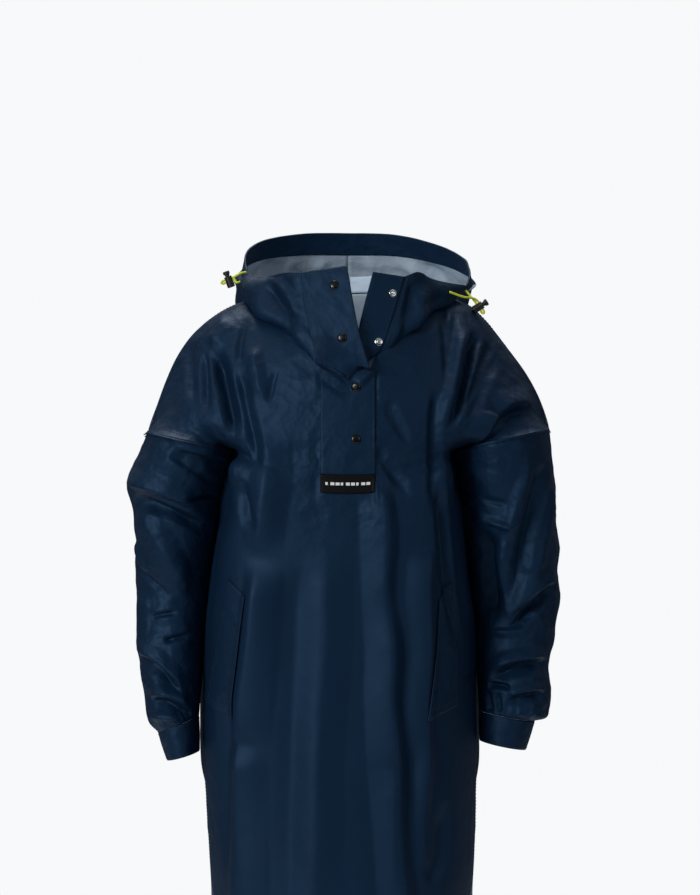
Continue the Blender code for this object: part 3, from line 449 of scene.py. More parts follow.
def stitches(points, normals, setup=stitchSetup):
    # Small spindles along a line on the cloth: rings of four round each stitch's run, closed by its ends.
    key, half = runOf(points), setup["length"] / 2
    middles = np.arange(setup["pitch"] / 2, key[-1], setup["pitch"])

    def at(s, values):
        return np.stack([np.interp(s, key, v) for v in values.T], -1)

    up, turn, rings = unit(at(middles, normals)), np.arange(4)[:, None] * math.pi / 2, []
    for share, swell in ((-1.0, 0.35), (-0.55, 1.0), (0.55, 1.0), (1.0, 0.35)):
        spot = middles + share * half
        centre = at(spot, points) + up * (0.1 - 0.16 * share * share)
        aside = unit(np.cross(up, unit(at(spot + 0.1, points) - at(spot - 0.1, points))))
        ring = np.cos(turn) * aside[:, None] + np.sin(turn) * up[:, None]
        rings.append(centre[:, None] + swell * setup["thick"] / 2 * ring)
    body = np.concatenate(rings, 1)
    faces = quadsOf(closeRound(np.arange(16).reshape(4, 4)))
    faces = np.concatenate([faces, [[3, 2, 1, 0], [12, 13, 14, 15]]])
    faces = (faces[None] + 16 * np.arange(len(middles))[:, None, None]).reshape(-1, 4)
    return body.reshape(-1, 3), faces


def joined(parts):
    # several lists of points and faces as one
    starts = np.cumsum([0] + [len(points) for points, _ in parts])
    return (np.concatenate([points for points, _ in parts]) * mm,
            np.concatenate([faces + start for (_, faces), start in zip(parts, starts)]))


def gridLine(points, normals, i, j, lift=0.15):
    # a line across a grid from index positions, a little above the cloth
    i, j = np.broadcast_arrays(np.asarray(i, float), np.asarray(j, float))
    up = unit(readGrid(normals, i, j))
    return readGrid(points, i, j) + up * lift, up


bodyCut = {
    "hem": -740.0, "underarm": -143.0, "labelFoot": -184.5, "labelTop": -166.5, "placketHalf": 25.5,
    "rows": (              # z, right, left, front, back
        (-740, 134, 124, 133, 128), (-650, 130, 118, 130, 124), (-571, 131, 119, 127, 119),
        (-538, 135, 123, 126, 117), (-500, 137, 124, 125, 115), (-456, 140, 125, 124, 113),
        (-403, 142, 125, 122, 111), (-336, 137, 121, 119, 109), (-256, 129, 112, 115, 107),
        (-203, 120, 105, 112, 106), (-172, 113, 101, 111, 106), (-143, 107, 98, 110, 105)),
    "ventTop": -533.0, "ventSpread": 24.0, "ventOpen": 10.0, "boxy": (0.64, 0.88),
    "shoulder": {          # out, z from the armhole's top to the neck
        -1: ((195, -125), (185, -96), (176, -72), (163, -46), (145, -24), (122, -8), (104, 1), (84, 6)),
        1: ((196, -122), (187, -94), (175, -71), (160, -50), (146, -32), (133, -16), (116, -1), (90, 8))},
    "neck": {-1: (-98.0, -78.0), 1: (72.0, 12.0)}, "chestTop": {-1: (-105.0, -104.0), 1: (101.0, -66.0)},
    "arrive": (            # share round the armhole: direction out, back and up at the seam, reach, squareness
        (0.0, 0.0, 1.0, 0.25, 97, 0.88), (0.15, 0.45, 0.85, 0.3, 60, 0.84), (0.3, 0.75, 0.55, 0.0, 40, 0.8),
        (0.45, 0.55, 0.2, -0.75, 42, 0.7), (0.65, 0.35, 0.1, -0.9, 46, 0.6), (0.85, 0.25, 0.35, -0.85, 46, 0.52),
        (1.0, 0.15, 0.8, -0.5, 44, 0.48)),
    "gap": 0.3, "lipDown": 2.8, "lipOut": {-1: 3.4, 1: 1.6},
    "roll": {              # face: where along the side's depth, width, height, lowest and highest z
        -1: (-20.0, 9.0, 3.3, -345.0, -145.0), 1: (18.0, 9.0, 4.6, -445.0, -345.0)},
    "rollMore": 3.2,       # more of it near the underarm
    "crumples": ((48.0, 3.4, (1, 1, 0.45)), (22.0, 1.2, (1, 1, 0.7))),     # size, height, stretch
    "puckers": {"placket": (26.0, 15.0, 2.6), "edge": (22.0, 9.0, 1.4)},   # pitch, reach, height
}
sleeveCut = {
    -1: (                  # out x, out z, in x, in z, middle y, half depth
        (195, -125, 107, -143, 0, 74), (204, -146, 112, -158, 1, 72), (213, -166, 115, -172, 3, 70),
        (216, -179, 118.5, -186, 5, 68), (211, -198, 122, -203, 7, 66), (206, -222, 126.5, -228, 9, 62),
        (208, -254, 131, -256, 11, 57), (206, -290, 134.5, -290, 8, 51), (205, -341, 139.5, -336, -4, 46),
        (201, -368, 141, -358, -12, 43), (196, -391, 142.6, -378, -18, 40), (192, -405, 143.6, -391, -22, 36),
        (184, -416, 144.1, -400, -24, 31)),
    1: (
        (196, -122, 98, -143, 0, 74), (199, -150, 101.8, -158, 1, 72), (202, -192, 105.6, -192, 4, 68),
        (205, -230, 111.5, -230, 8, 64), (207, -274, 117, -274, 12, 58), (208, -295, 119, -292, 12, 53),
        (203, -312, 121.5, -312, 6, 49), (199, -331, 122.9, -330, 0, 46), (195, -350, 124.2, -350, -8, 44),
        (195, -392, 126.3, -383, -18, 40), (190, -403, 126.7, -392, -21, 36),
        (181, -405, 126.8, -395, -23, 31)),
}
fineness = {               # how many fine rows for each stretch between coarse rows, and fine columns
    "front": ((13,) * 12 + (6,) * 14, 5), "back": ((12,) * 15 + (6,) * 11, 6), "sleeve": (10, 10),
    "strip": (6, 8), "hood": (8, 6), "collar": (8, 6),
}


def ringOf(row, side, angle):
    # a sleeve's ring at angles from its inner edge round by the front, with its outward directions
    outX, outZ, inX, inZ, middleY, depth = row
    outer = np.array([side * outX, middleY, outZ], float)
    inner = np.array([side * inX, middleY, inZ], float)
    half, angle = (outer - inner) / 2, np.asarray(angle, float)[..., None]
    forward, size = np.array([0.0, -1.0, 0.0]), np.linalg.norm(half)
    point = (outer + inner) / 2 - np.cos(angle) * half + np.sin(angle) * depth * forward
    return point, unit(-np.cos(angle) * half / size / size + np.sin(angle) / depth * forward)


def panelRow(face, side, station, cut):
    # middle and edge of one row of a half panel with its handles: up the torso, round the armhole, to the neck
    depthColumn, widthColumn = (3 if face < 0 else 4), (1 if side < 0 else 2)
    neck, (depthTop, heightTop) = cut["neck"][face], cut["chestTop"][face]
    underarm, foot, hem = cut["underarm"], cut["labelFoot"], cut["hem"]
    if station <= 1:
        z, middleZ = hem + station * (underarm - hem), hem + station * (foot - hem)
        vent = np.clip((cut["ventTop"] - z) / (cut["ventTop"] - hem), 0, 1) ** 1.4
        depth = readTable(cut["rows"], depthColumn, middleZ)
        x = readTable(cut["rows"], widthColumn, z) + (face > 0) * cut["ventSpread"] * vent
        square = cut["boxy"][0] + (cut["boxy"][1] - cut["boxy"][0]) * ease(-480, underarm, z)
        middle = np.array([0.0, face * depth, middleZ])
        edge = np.array([side * x, face * cut["ventOpen"] * vent, z])
        return middle, edge, np.array([square * x, 0, 0]), np.array([0, -face * square * depth, 0])
    depth = face * readTable(cut["rows"], depthColumn, foot)
    if station <= 2:
        u = station - 1
        point, _ = ringOf(sleeveCut[side][0], side, -face * math.pi * u)
        middle = np.array([0.0, depth + (depthTop - depth) * u, foot + (heightTop - foot) * u])
        out, back, rise, reach, square = blendRows(cut["arrive"], u)
        arrive = unit(np.array([side * out, -face * back, rise])) * reach
        return middle, point, np.array([square * abs(point[0]), 0, 0]), arrive
    u = station - 2
    x, z = along(cut["shoulder"][side], [u])[0]
    middle = np.array([0.0, depthTop + (neck[0] - depthTop) * u, heightTop + (neck[1] - heightTop) * u])
    leave = np.array([0.48 * x, 0, (0.45 if face < 0 else 0.05) * u**3 * x])
    reach = 42 + (0.5 * abs(neck[0]) - 42) * u
    return middle, np.array([side * x, 0.0, z]), leave, np.array([0, -face, 0.6 * u**3 - 0.25]) * reach


def halfPanel(face, side, stations, columns, cut):
    # Coarse points of half a panel: a curve from the middle to the edge in each row, its depth evened
    # up each column as pulled cloth is.
    strip = np.linspace(0, cut["placketHalf"], 4 if face < 0 else 2)
    shares, fine, points = np.linspace(0, 1, columns + 1)[1:], np.linspace(0, 1, 160), []
    for station in stations:
        middle, edge, leave, arrive = panelRow(face, side, station, cut)
        curve = bezier(middle, middle + leave * np.array([side, 1, 1]), edge - arrive, edge, fine)
        length = runOf(curve)
        onStrip = np.interp(strip, np.abs(curve[:60, 0]), length[:60])
        at = np.concatenate([onStrip, onStrip[-1] + shares * (length[-1] - onStrip[-1])])
        points.append(np.stack([np.interp(at, length, k) for k in curve.T], axis=-1))
    points = np.array(points)
    share, held = np.linspace(0, 1, points.shape[1])[None, :], np.asarray(stations)[:, None]
    outer = ease(0.35, 0.75, share) * ease(1.1, 1.45, held) * ease(2.7, 2.2, held)
    inner = (1 - outer) * (1 - ease(0.5, 0.9, share))
    step = np.linalg.norm(np.diff(points, axis=0), axis=-1)
    for _ in range(14):
        depth = points[..., 1]
        between = (depth[:-2] * step[1:] + depth[2:] * step[:-1]) / (step[1:] + step[:-1])
        points[1:-1, :-1, 1] += 0.6 * ((between - depth[1:-1]) * inner[1:-1])[:, :-1]
        near = (points[:-2, 1:-1] + points[2:, 1:-1] + points[1:-1, :-2] + points[1:-1, 2:]) / 4
        points[1:-1, 1:-1] += (near - points[1:-1, 1:-1]) * 0.6 * outer[1:-1, 1:-1, None]
    return points


def coarsePanel(face, torso, arm, shoulder, columns, cut):
    # two half panels joined at the middle column, and the station of each row
    foot = cut["labelFoot"]
    first = (cut["labelTop"] - foot) / (cut["chestTop"][face][1] - foot) if face < 0 else 1 / arm
    stations = np.concatenate([np.linspace(0, 1, torso + 1), np.linspace(1 + first, 2, arm),
                               2 + np.arange(1, shoulder + 1) / shoulder])
    right, left = (halfPanel(face, side, stations, columns, cut) for side in (-1, 1))
    return np.concatenate([right[:, ::-1], left[:, 1:]], axis=1), stations


# Folds, each by start, bend and end in front view, widths to its two sides and height:
# x0, z0, x1, z1, x2, z2, left, right, height
frontFolds = (
    (-129, -45, -120, -91, -107, -136, 15, 5, -14), (-97, -18, -102, -44, -103, -66, 6, 4, -4),
    (-103, -64, -96, -110, -81, -171, 10, 5, -6), (-88, -44, -85, -72, -80, -102, 8, 10, 5),
    (-67, -66, -73, -85, -76, -100, 3, 4, -3), (-151, -29, -154, -67, -151, -101, 8, 5, -5),
    (-138, -50, -138, -77, -136, -113, 7, 4, -5), (-162, -48, -170, -82, -177, -115, 9, 5, -4),
    (-113, -16, -123, -32, -130, -45, 11, 10, 5), (-106, -149, -117, -173, -126, -222, 8, 4, 5),
    (-105, -169, -96, -197, -84, -224, 7, 9, -7), (-78, -120, -80, -182, -86, -249, 23, 15, 8),
    (-87, -245, -94, -335, -107, -469, 27, 12, 10), (-103, -421, -103, -497, -103, -650, 27, 13, 10),
    (-118, -373, -114, -430, -109, -574, 11, 11, -6), (-17, -219, -25, -380, -34, -654, 25, 23, 4),
    (-45, -248, -53, -380, -59, -654, 21, 19, -4), (25, -146, 43, -163, 60, -191, 9, 7, -4),
    (35, -97, 49, -120, 63, -144, 8, 8, -4), (33, -163, 36, -229, 38, -323, 11, 23, 8),
    (38, -276, 42, -380, 49, -475, 12, 25, 10), (44, -437, 51, -522, 57, -664, 13, 25, 10),
    (85, -82, 82, -134, 80, -211, 9, 6, -6), (76, -235, 75, -325, 70, -574, 9, 19, 8),
    (89, -163, 94, -249, 109, -344, 5, 10, -9), (100, -159, 108, -249, 121, -344, 6, 5, 4),
    (124, -29, 115, -67, 96, -129, 6, 5, -13), (117, -22, 104, -67, 92, -125, 6, 9, 6),
    (104, -8, 102, -44, 100, -82, 4, 4, -3), (89, -1, 95, -39, 96, -91, 6, 6, -4),
    (138, -33, 128, -67, 109, -108, 6, 5, -6), (143, -48, 129, -82, 113, -119, 7, 5, -4),
    (184, -97, 159, -102, 141, -108, 4, 19, 7), (142, -108, 133, -123, 115, -143, 4, 15, 7),
    (179, -106, 157, -110, 143, -119, 11, 3, -5), (109, -360, 116, -359, 124, -358, 3, 4, -3),
    (94, -473, 88, -526, 73, -550, 10, 11, -5), (59, -408, 59, -475, 58, -569, 13, 15, -5),
)
backFolds = (
    (-118, -40, -108, -96, -96, -150, 10, 10, -10), (-104, -36, -92, -120, -70, -230, 13, 11, 7),
    (-128, -60, -118, -92, -108, -126, 8, 8, 5), (-70, -150, -66, -190, -84, -260, 9, 9, -5),
    (110, -40, 102, -96, 92, -150, 9, 10, -10), (96, -44, 86, -130, 74, -260, 12, 12, 7),
    (124, -52, 112, -90, 102, -128, 8, 8, 5), (-56, -200, -76, -400, -84, -690, 18, 26, 15),
    (-24, -240, -30, -460, -26, -720, 24, 22, -11), (40, -170, 46, -400, 60, -700, 24, 18, 14),
    (86, -230, 96, -420, 92, -640, 14, 18, -8), (10, -150, 6, -260, 14, -420, 16, 16, 5),
    (-104, -300, -112, -420, -108, -620, 14, 18, 6), (14, -420, 22, -540, 16, -720, 16, 18, 6),
)


def dressPanel(points, stations, face, table, seed, cut):
    # folds, a light crumple and puckers at the seams, all along the surface's own directions
    columns, half, x, z = points.shape[1], cut["placketHalf"], np.abs(points[..., 0]), points[..., 2]
    share = np.abs(np.linspace(-1, 1, columns))[None, :]
    free = ease(1.0, 0.85, share) * ease(3.0, 2.9, stations)[:, None]
    arm = (ease(0.96, 1.1, stations) * ease(2.3, 2.0, stations))[:, None]
    loose = free * (1 - arm * ease(0.86, 1.0, share))
    hem = ease(0.0, 0.03, stations)[:, None]
    normals = normalsOf(points, -face)
    lift = folds(points, table, 3.0, seed) * loose
    busy = 0.16 + 0.5 * ease(-250, -150, z) + 0.3 * ease(0.5, 0.85, share)
    busy = busy + 0.4 * hill(x - half, 16) * ease(-260, -200, z)
    (size, height, stretch), (fineSize, fineHeight, fineStretch) = cut["crumples"]
    lift += crumple(points, size, height, seed, stretch) * loose * busy
    lift += crumple(points, fineSize, fineHeight, seed + 3, fineStretch) * free * (0.4 + 0.6 * hem) * busy
    if face < 0:
        edge, above = np.abs(x - half), ease(-205, -180, z)
        lift += puckers(edge, z, *cut["puckers"]["placket"], seed) * (x > half) * above * ease(1.0, 5.0, edge)
        lift *= 1 - 0.85 * (x < half) * above
    inward = (1 - share) * runOf(points.transpose(1, 0, 2))[-1][:, None] / 2
    run = runOf(points[:, -1])[:, None] + 0 * inward
    lift += puckers(inward, run, *cut["puckers"]["edge"], seed + 4) * ease(0.0, 0.04, 1 - share)
    place, wide, height, low, high = cut["roll"][face]      # the side rolls out round the hanging sleeve
    roll = hill(points[..., 1] - place, wide) * ease(0.55, 0.75, share)
    roll = roll * ease(low - 40, low, z) * ease(high + 12, high, z)
    height = height + cut["rollMore"] * ease(-195, -165, z) + 1.2 * (noise(points, 38.0, seed + 6) - 0.5)
    moved = points + normals * (lift + roll * height)[..., None]
    # the seam allowances lie toward the body and hold the panel's edge out over the sleeve as a small lip
    reach = ease(1.0, 1.06, stations) * ease(2.0, 1.93, stations)
    for s, part in ((-1, slice(0, columns // 2)), (1, slice(columns // 2, None))):
        angle = -face * math.pi * (np.clip(stations, 1, 2) - 1)
        (first, outward), (second, _) = (ringOf(sleeveCut[s][k], s, angle) for k in (0, 1))
        shift = unit(second - first) * cut["lipDown"] + outward * cut["lipOut"][s]
        moved[:, part] += shift[:, None] * (ease(0.9, 1.0, share[0, part])[None, :] * reach[:, None])[..., None]
    return moved, normalsOf(moved, -face), busy


def seamDirections(points, normals, face, stations, cut):
    # wall directions at the side, armhole and shoulder seams, the same on both pieces that meet there
    torso, arm, top = stations <= 1, (stations > 1) & (stations < 2), stations >= 2
    for side, column in ((-1, 0), (1, points.shape[1] - 1)):
        own = normals[:, column]
        own[torso] = [side, 0, 0]
        _, outward = ringOf(sleeveCut[side][0], side, -face * math.pi * (stations[arm] - 1))
        share = ease(0.2, 0.5, stations[arm] - 1)[:, None]
        own[arm] = unit(own[arm] * (1 - share) + outward * share)
        u = np.clip(stations[top][:, None] - 2 + np.array([-0.02, 0.02]), 0, 1)
        run = np.diff(along(cut["shoulder"][side], u), axis=1)[:, 0]
        own[top] = unit(np.stack([run[:, 1] * side, 0 * run[:, 0], -run[:, 0]], -1))
        for k in range(1, 4):      # ease from the seam into the panel
            near, at = 1 - k / 4, column - side * k
            normals[:, at] = unit(normals[:, at] * (1 - near) + own * near)
    return normals


def makePanel(label, face, counts, table, seed, cut):
    # coarse points, made finer, moved along their own directions and given a wall
    plain, stations = coarsePanel(face, *counts, cut)
    rowsFiner, columnsFiner = fineness[label]
    fine = refine(plain, rowsFiner, columnsFiner)
    stations = np.interp(fineRows(len(stations), rowsFiner), np.arange(len(stations)), stations)
    fine[:, [0, -1], 1] += face * cut["gap"] / 2
    points, normals, busy = dressPanel(fine, stations, face, table, seed, cut)
    normals = seamDirections(points, normals, face, stations, cut)
    clothPiece(f"{label}_panel", points, normals, f"body_{label}", crumpled=busy)
    return plain, points, normals, stations


# rows up the torso, round the armhole and along the shoulder, and columns to each side of the placket
plainFront, front, frontNormals, frontStations = makePanel("front", -1, (12, 7, 7, 17), frontFolds, 11, bodyCut)
plainBack, back, backNormals, backStations = makePanel("back", 1, (15, 5, 6, 10), backFolds, 23, bodyCut)
print("body panels made")

sleeveFolds = {
    -1: (
        (-169, -141, -137, -150, -110, -155, 3, 13, -8), (-208, -185, -173, -199, -126, -220, 4, 12, -11),
        (-217, -175, -180, -184, -136, -205, 16, 4, 8), (-158, -193, -138, -189, -121, -186, 4, 3, -6),
        (-173, -142, -152, -159, -123, -177, 8, 5, -4), (-205, -196, -176, -240, -148, -292, 14, 23, 9),
        (-209, -228, -202, -245, -193, -263, 4, 4, 3), (-206, -257, -188, -269, -171, -284, 4, 4, -3),
        (-190, -303, -178, -300, -161, -298, 3, 4, -5), (-177, -327, -163, -323, -148, -320, 4, 4, -5),
        (-208, -335, -180, -346, -156, -372, 11, 3, 5), (-207, -341, -180, -353, -157, -380, 3, 10, -7),
        (-192, -380, -171, -377, -145, -393, 10, 3, 6), (-191, -386, -171, -383, -145, -398, 3, 12, -9),
        (-190, -399, -173, -399, -152, -405, 6, 5, 4), (-199, -278, -200, -312, -199, -345, 9, 6, 4),
    ),
    1: (
        (190, -152, 175, -206, 151, -305, 9, 9, -9), (175, -146, 157, -206, 141, -288, 10, 8, 5),
        (200, -163, 189, -221, 173, -278, 9, 9, 5), (136, -213, 133, -259, 143, -314, 12, 11, -14),
        (123, -209, 141, -213, 159, -219, 6, 3, 5), (204, -268, 178, -280, 147, -312, 3, 16, 7),
        (205, -274, 180, -288, 151, -320, 10, 3, -11), (125, -316, 144, -319, 175, -314, 4, 6, 4),
        (135, -358, 160, -345, 196, -342, 11, 3, 6), (135, -364, 160, -352, 196, -347, 3, 12, -9),
        (133, -369, 144, -370, 155, -373, 3, 5, -8), (149, -381, 170, -375, 191, -374, 9, 3, 4),
        (149, -386, 170, -380, 191, -379, 3, 10, -7), (127, -189, 140, -192, 151, -192, 4, 4, -3),
        (133, -374, 134, -386, 136, -397, 4, 4, -4), (141, -376, 142, -387, 144, -397, 4, 4, -4),
    ),
}
sleeveBackFolds = {
    -1: (
        (-214, -184, -176, -198, -132, -214, 11, 8, -9), (-212, -172, -176, -182, -128, -190, 8, 8, 5),
        (-206, -230, -172, -262, -140, -282, 14, 14, 6), (-204, -318, -176, -330, -148, -326, 8, 7, -6),
        (-200, -360, -176, -352, -150, -366, 7, 8, 5), (-190, -384, -168, -380, -148, -390, 5, 5, -5),
    ),
    1: (
        (206, -250, 176, -268, 130, -262, 11, 8, -9), (206, -236, 170, -252, 126, -248, 8, 9, 5),
        (200, -180, 170, -200, 120, -204, 14, 14, -5), (202, -316, 170, -322, 130, -312, 8, 7, -6),
        (196, -352, 168, -346, 132, -356, 7, 8, 5), (190, -384, 160, -378, 134, -386, 5, 5, -5),
    ),
}
sleeveCloth = {
    "rings": 18, "around": 20, "radius": 45.0,     # coarse rings and points of each, and its usual radius
    "crumples": ((40.0, 4.0), (17.0, 1.2)), "stretch": (0.7, 1, 1),
    "puckers": {"cuff": (11.0, 14.0, 2.6), "armhole": (20.0, 9.0, 1.6)},
}
cuffCut = {
    "around": 128, "crumple": (26.0, 0.9), "swell": 0.5,
    -1: ((183.8, -416.4, 144.2, -400.4, -24, 30.8), (175, -443, 143.6, -434, -25, 31)),
    1: ((180.7, -405.4, 126.9, -395.4, -23, 30.8), (172, -433, 127.2, -424, -24, 31)),
}


def tubeOf(rows, side, around):
    # rings at even angles with their outward directions
    angle = np.linspace(0, 2 * math.pi, around, endpoint=False)
    points, normals = (np.array(v) for v in zip(*(ringOf(row, side, angle) for row in rows)))
    return angle, points, normals


def tubeNormals(points, side):
    # outward directions of rings that hang to one side
    normals = normalsOf(points, 1.0, wrap=True)
    return -normals if np.sum(normals[:, 0, 0]) * side > 0 else normals


def makeSleeve(side, label, cloth, seed):
    # Rings read along the sleeve's table, made finer, then folded on the front and the back by their
    # own tables; cloth is gathered a little above the cuff.
    rows, (rowsFiner, columnsFiner) = np.array(sleeveCut[side], float), fineness["sleeve"]
    steps = runOf((rows[:, :2] + rows[:, 2:4]) / 2)
    at = np.linspace(0, steps[-1], cloth["rings"] * rowsFiner + 1)
    values = blendRows(np.column_stack([steps, rows]), at)
    angle, points, normals = tubeOf(values, side, cloth["around"] * columnsFiner)
    share = (at / steps[-1])[:, None]
    facing = ease(-0.25, 0.35, -normals[..., 1])
    lift = folds(points, sleeveFolds[side], 2.5, seed) * facing
    lift += folds(points, sleeveBackFolds[side], 2.5, seed + 1) * (1 - facing)
    coarse, fine = cloth["crumples"]
    lift += crumple(points, *coarse, seed + 2, cloth["stretch"]) + crumple(points, *fine, seed + 3)
    girth = angle[None, :] * cloth["radius"] + 0 * share
    lift += puckers((1 - share) * steps[-1], girth, *cloth["puckers"]["cuff"], seed + 4)
    lift += puckers(share * steps[-1], girth, *cloth["puckers"]["armhole"], seed + 5)
    bodyward = normals[..., 0] * -side                      # flat where it lies against the body
    lift *= np.where(lift > 0, 1 - 0.9 * ease(0.35, 0.9, bodyward), 1 - 0.95 * ease(0.75, 0.98, bodyward))
    points = points + normals * (lift * within(share, 0.03, 0.03))[..., None]
    points[0] += np.outer(ease(0.2, 0.8, np.cos(angle)), [side * 1.2, 0, -1.0])
    points[0, :, 2] -= bodyCut["gap"]
    normals = tubeNormals(points, side)
    clothPiece(f"sleeve_cloth_{label}", points, normals, f"sleeve_{label}", wrap=True, crumpled=0.9)


def makeCuff(side, label, cut, seed):
    # a plain band, its lower edge turned in, with a little wave
    share = np.linspace(0, 1, 25)[:, None]
    top, foot = (np.array(row, float) for row in cut[side])
    _, points, normals = tubeOf(top * (1 - share) + foot * share, side, cut["around"])
    wave = np.sin(math.pi * share)
    lift = crumple(points, *cut["crumple"], seed) * wave + cut["swell"] * wave**0.5
    points = points + normals * lift[..., None]
    normals = tubeNormals(points, side)
    clothPiece(f"cuff_band_{label}", points, normals, f"cuff_{label}", "stretched", wrap=True)
    return points, normals


for label, side in sides:
    makeSleeve(side, label, sleeveCloth, 41 + side)
cuffs = {label: makeCuff(side, label, cuffCut, 51 + side) for label, side in sides}
print("sleeves made")

placketCut = {
    "flap": (              # share, left x, left y, left z, right x, right y, right z
        (0.00, -28.5, -101, -57, 21.5, -107, -66), (0.25, -34.5, -98, -38, 13, -106, -42),
        (0.60, -41, -88, -7, 5, -98, -4), (1.00, -45, -78, 26, -1, -86, 32)),
    "underlap": (
        (0.0, 7, -95, -44, 35, -91, -40), (0.45, 14, -90, -12, 45, -81, -8), (1.0, 24, -82, 26, 54, -71, 22)),
    "rows": 7, "across": 6, "lift": 1.8, "wall": 1.1,
    "crumples": {"flap": (30.0, 1.0), "underlap": (26.0, 0.8)},
    "folds": (             # where it hangs over the part that stays buttoned
        (-42, -44, -18, -64, 6, -82, 22, 4, 7), (-36, -60, -16, -74, 8, -90, 3, 12, -4),
        (26, -66, 16, -76, 6, -84, 5, 10, 4)),
    "caps": ((-13, 13), (-5.7, -38), (7.6, -84), (7.6, -132.5)), "studs": ((43, 5), (29, -40)),
}
collarCut = {
    "belly": 6.0, "hang": 4.0, "crumple": (30.0, 2.4), "tuck": (2.4, 1.5),
    "right": (             # share, top x, top y, top z, belly out, sag, roll
        (0.0, -45.3, -78, 26, 1, 0, 0), (0.25, -59, -66, 26, 3, 0, 0), (0.5, -71, -48, 25, 8, 2, 1),
        (0.75, -84, -24, 24, 18, 5, 4), (1.0, -97, 4, 28, 17, 7, 2)),
    "left": (
        (0.0, 54.3, -71, 22, 1, 0, 0), (0.3, 68, -60, 27, 3, 0, 0), (0.6, 82, -42, 21, 7, 2, 2),
        (0.8, 100, -24, 18, 9, 4, 1), (1.0, 116, -4, 17, 8, 5, 0)),
    "rightFolds": (
        (-82, 18, -62, -8, -44, -40, 8, 7, -5), (-92, 12, -74, -18, -50, -50, 8, 8, 4),
        (-72, 22, -54, 2, -46, -20, 7, 6, 4), (-98, 2, -80, -22, -58, -52, 6, 8, -5),
    ),
    "leftFolds": (
        (62, 20, 58, -10, 44, -40, 7, 6, -4), (76, 16, 66, -16, 52, -44, 7, 8, 4),
        (92, 10, 78, -14, 62, -38, 7, 7, -5), (108, 4, 92, -14, 74, -34, 6, 7, 4),
    ),
}
hoodCut = {
    "rim": (               # share, rim x, rim y, rim z, bag x, bag y, bag z
        (0.0, -99, 8, 28, -94, 12, 12), (0.1, -102, 26, 43, -91, 34, 6), (0.2, -98, 48, 56, -101, 68, -20),
        (0.3, -80, 72, 67, -98, 104, -62), (0.4, -43, 97, 74, -60, 128, -100), (0.5, 0, 106, 75, 0, 135, -114),
        (0.6, 46, 97, 73, 60, 128, -100), (0.7, 84, 72, 63, 100, 104, -62), (0.8, 108, 48, 51, 108, 68, -18),
        (0.9, 120, 24, 38, 105, 34, 7), (1.0, 121, 0, 18, 110, 8, 10)),
    "folds": (             # soft ones inside the bag, on both of its walls
        (50, 59, 64, 44, 84, 22, 7, 9, -6), (66, 58, 82, 42, 100, 24, 6, 6, 5), (18, 58, 24, 42, 34, 20, 9, 6, -4),
        (-48, 58, -63, 40, -73, 24, 8, 5, -5), (-70, 54, -82, 40, -90, 28, 6, 6, 5),
        (-20, 56, -30, 40, -38, 20, 7, 9, -4)),
    "band": 22.0, "bandStarts": 0.68, "bandRows": (-0.03, 0.35, 0.7, 1.0), "steps": 12, "lines": 23,
    "crumples": {"bag": ((44.0, 5.0), (19.0, 1.2)), "band": (24.0, 0.8)}, "calmFoot": 18, "behindCollar": 0.8,
}
middle, foot = plainFront.shape[1] // 2, 12     # the front's middle column and the row at the label's foot
upward, seamStep = np.array([0, 0, 1.0]), np.array([0, 0, 0.8])


def stripGrid(table, across, steps, lower):
    # given rows, then straight ones between the two edges of a table
    rows = blendRows(table, np.linspace(0, 1, steps))
    share = np.linspace(0, 1, across + 1)[None, :, None]
    return np.concatenate([lower, rows[:, None, :3] * (1 - share) + rows[:, None, 3:] * share])


def collarLine(base, table, share, at):
    # from the neckline out over its belly to the top edge
    *top, belly, sag, roll = blendRows(table, share)
    top, out = np.array(top), unit(np.array([top[0], top[1], 0]))
    low = base + (top - base) * 0.33 + out * belly * 1.2 - upward * sag
    high = base + (top - base) * 0.67 + out * belly * 1.2 + upward * roll
    return bezier(base, low, high, top, at)


def collarGrid(base, table, edge):
    # a line for each point of the neckline, the first ones eased onto the placket
    shares, up = np.linspace(0, 1, len(base)), np.linspace(0, 1, len(edge))
    points = np.array([collarLine(p, table, s, up) for p, s in zip(base, shares)]).transpose(1, 0, 2)
    near = np.exp(-np.arange(len(base)) / 1.2)[None, :, None]
    return points + (edge[:, None] - points[:, :1]) * near


def hoodLine(seam, share, cut):
    # from the neck seam over, down inside the bag and up to the band, then the band's own line
    rim, bag = blendRows(cut["rim"], share).reshape(2, 3)
    full = max(math.sin(math.pi * share), 0.0) ** 0.7
    out = unit(bag * [1, 1, 0])
    low = rim + out * 7 * full - upward * cut["band"] * (0.45 + 0.5 * full)
    line = (seam, seam + out * (2 + 7 * full) + upward * (3 + 12 * full),
            (seam + bag) / 2 + out * (4 + 8 * full) + upward * 5 * full, bag,
            (bag + rim) / 2 + out * (1 + 23 * full), low + out * (1 + 10 * full) - upward * 12 * full, low)
    rows, starts, steps = np.array(cut["bandRows"]), cut["bandStarts"], np.linspace(0, 1, cut["steps"] + 1)
    own = float(ease(0.0, 0.12, min(share, 1 - share)))     # at its ends the hood runs on from the collar
    table = collarCut["right" if share < 0.5 else "left"]
    endCloth = collarLine(seam, table, 1.0, steps * starts)
    endBand = collarLine(seam, table, 1.0, starts + (1 - starts) * rows)
    cloth, band = along(line, steps), low + (rim - low) * rows[:, None]
    return endCloth + (cloth - endCloth) * own, endBand + (band - endBand) * own


def onFront(firstRow, lastRow, down, across):
    # a patch of the front panel as wide as the placket, between coarse rows, with its directions
    rows = np.interp(np.linspace(firstRow, lastRow, down),
                     fineRows(len(plainFront), fineness["front"][0]), np.arange(len(front)))
    columns = np.linspace(middle - 3, middle + 3, across) * fineness["front"][1]
    i, j = np.meshgrid(rows, columns, indexing="ij")
    return readGrid(front, i, j), unit(readGrid(frontNormals, i, j))


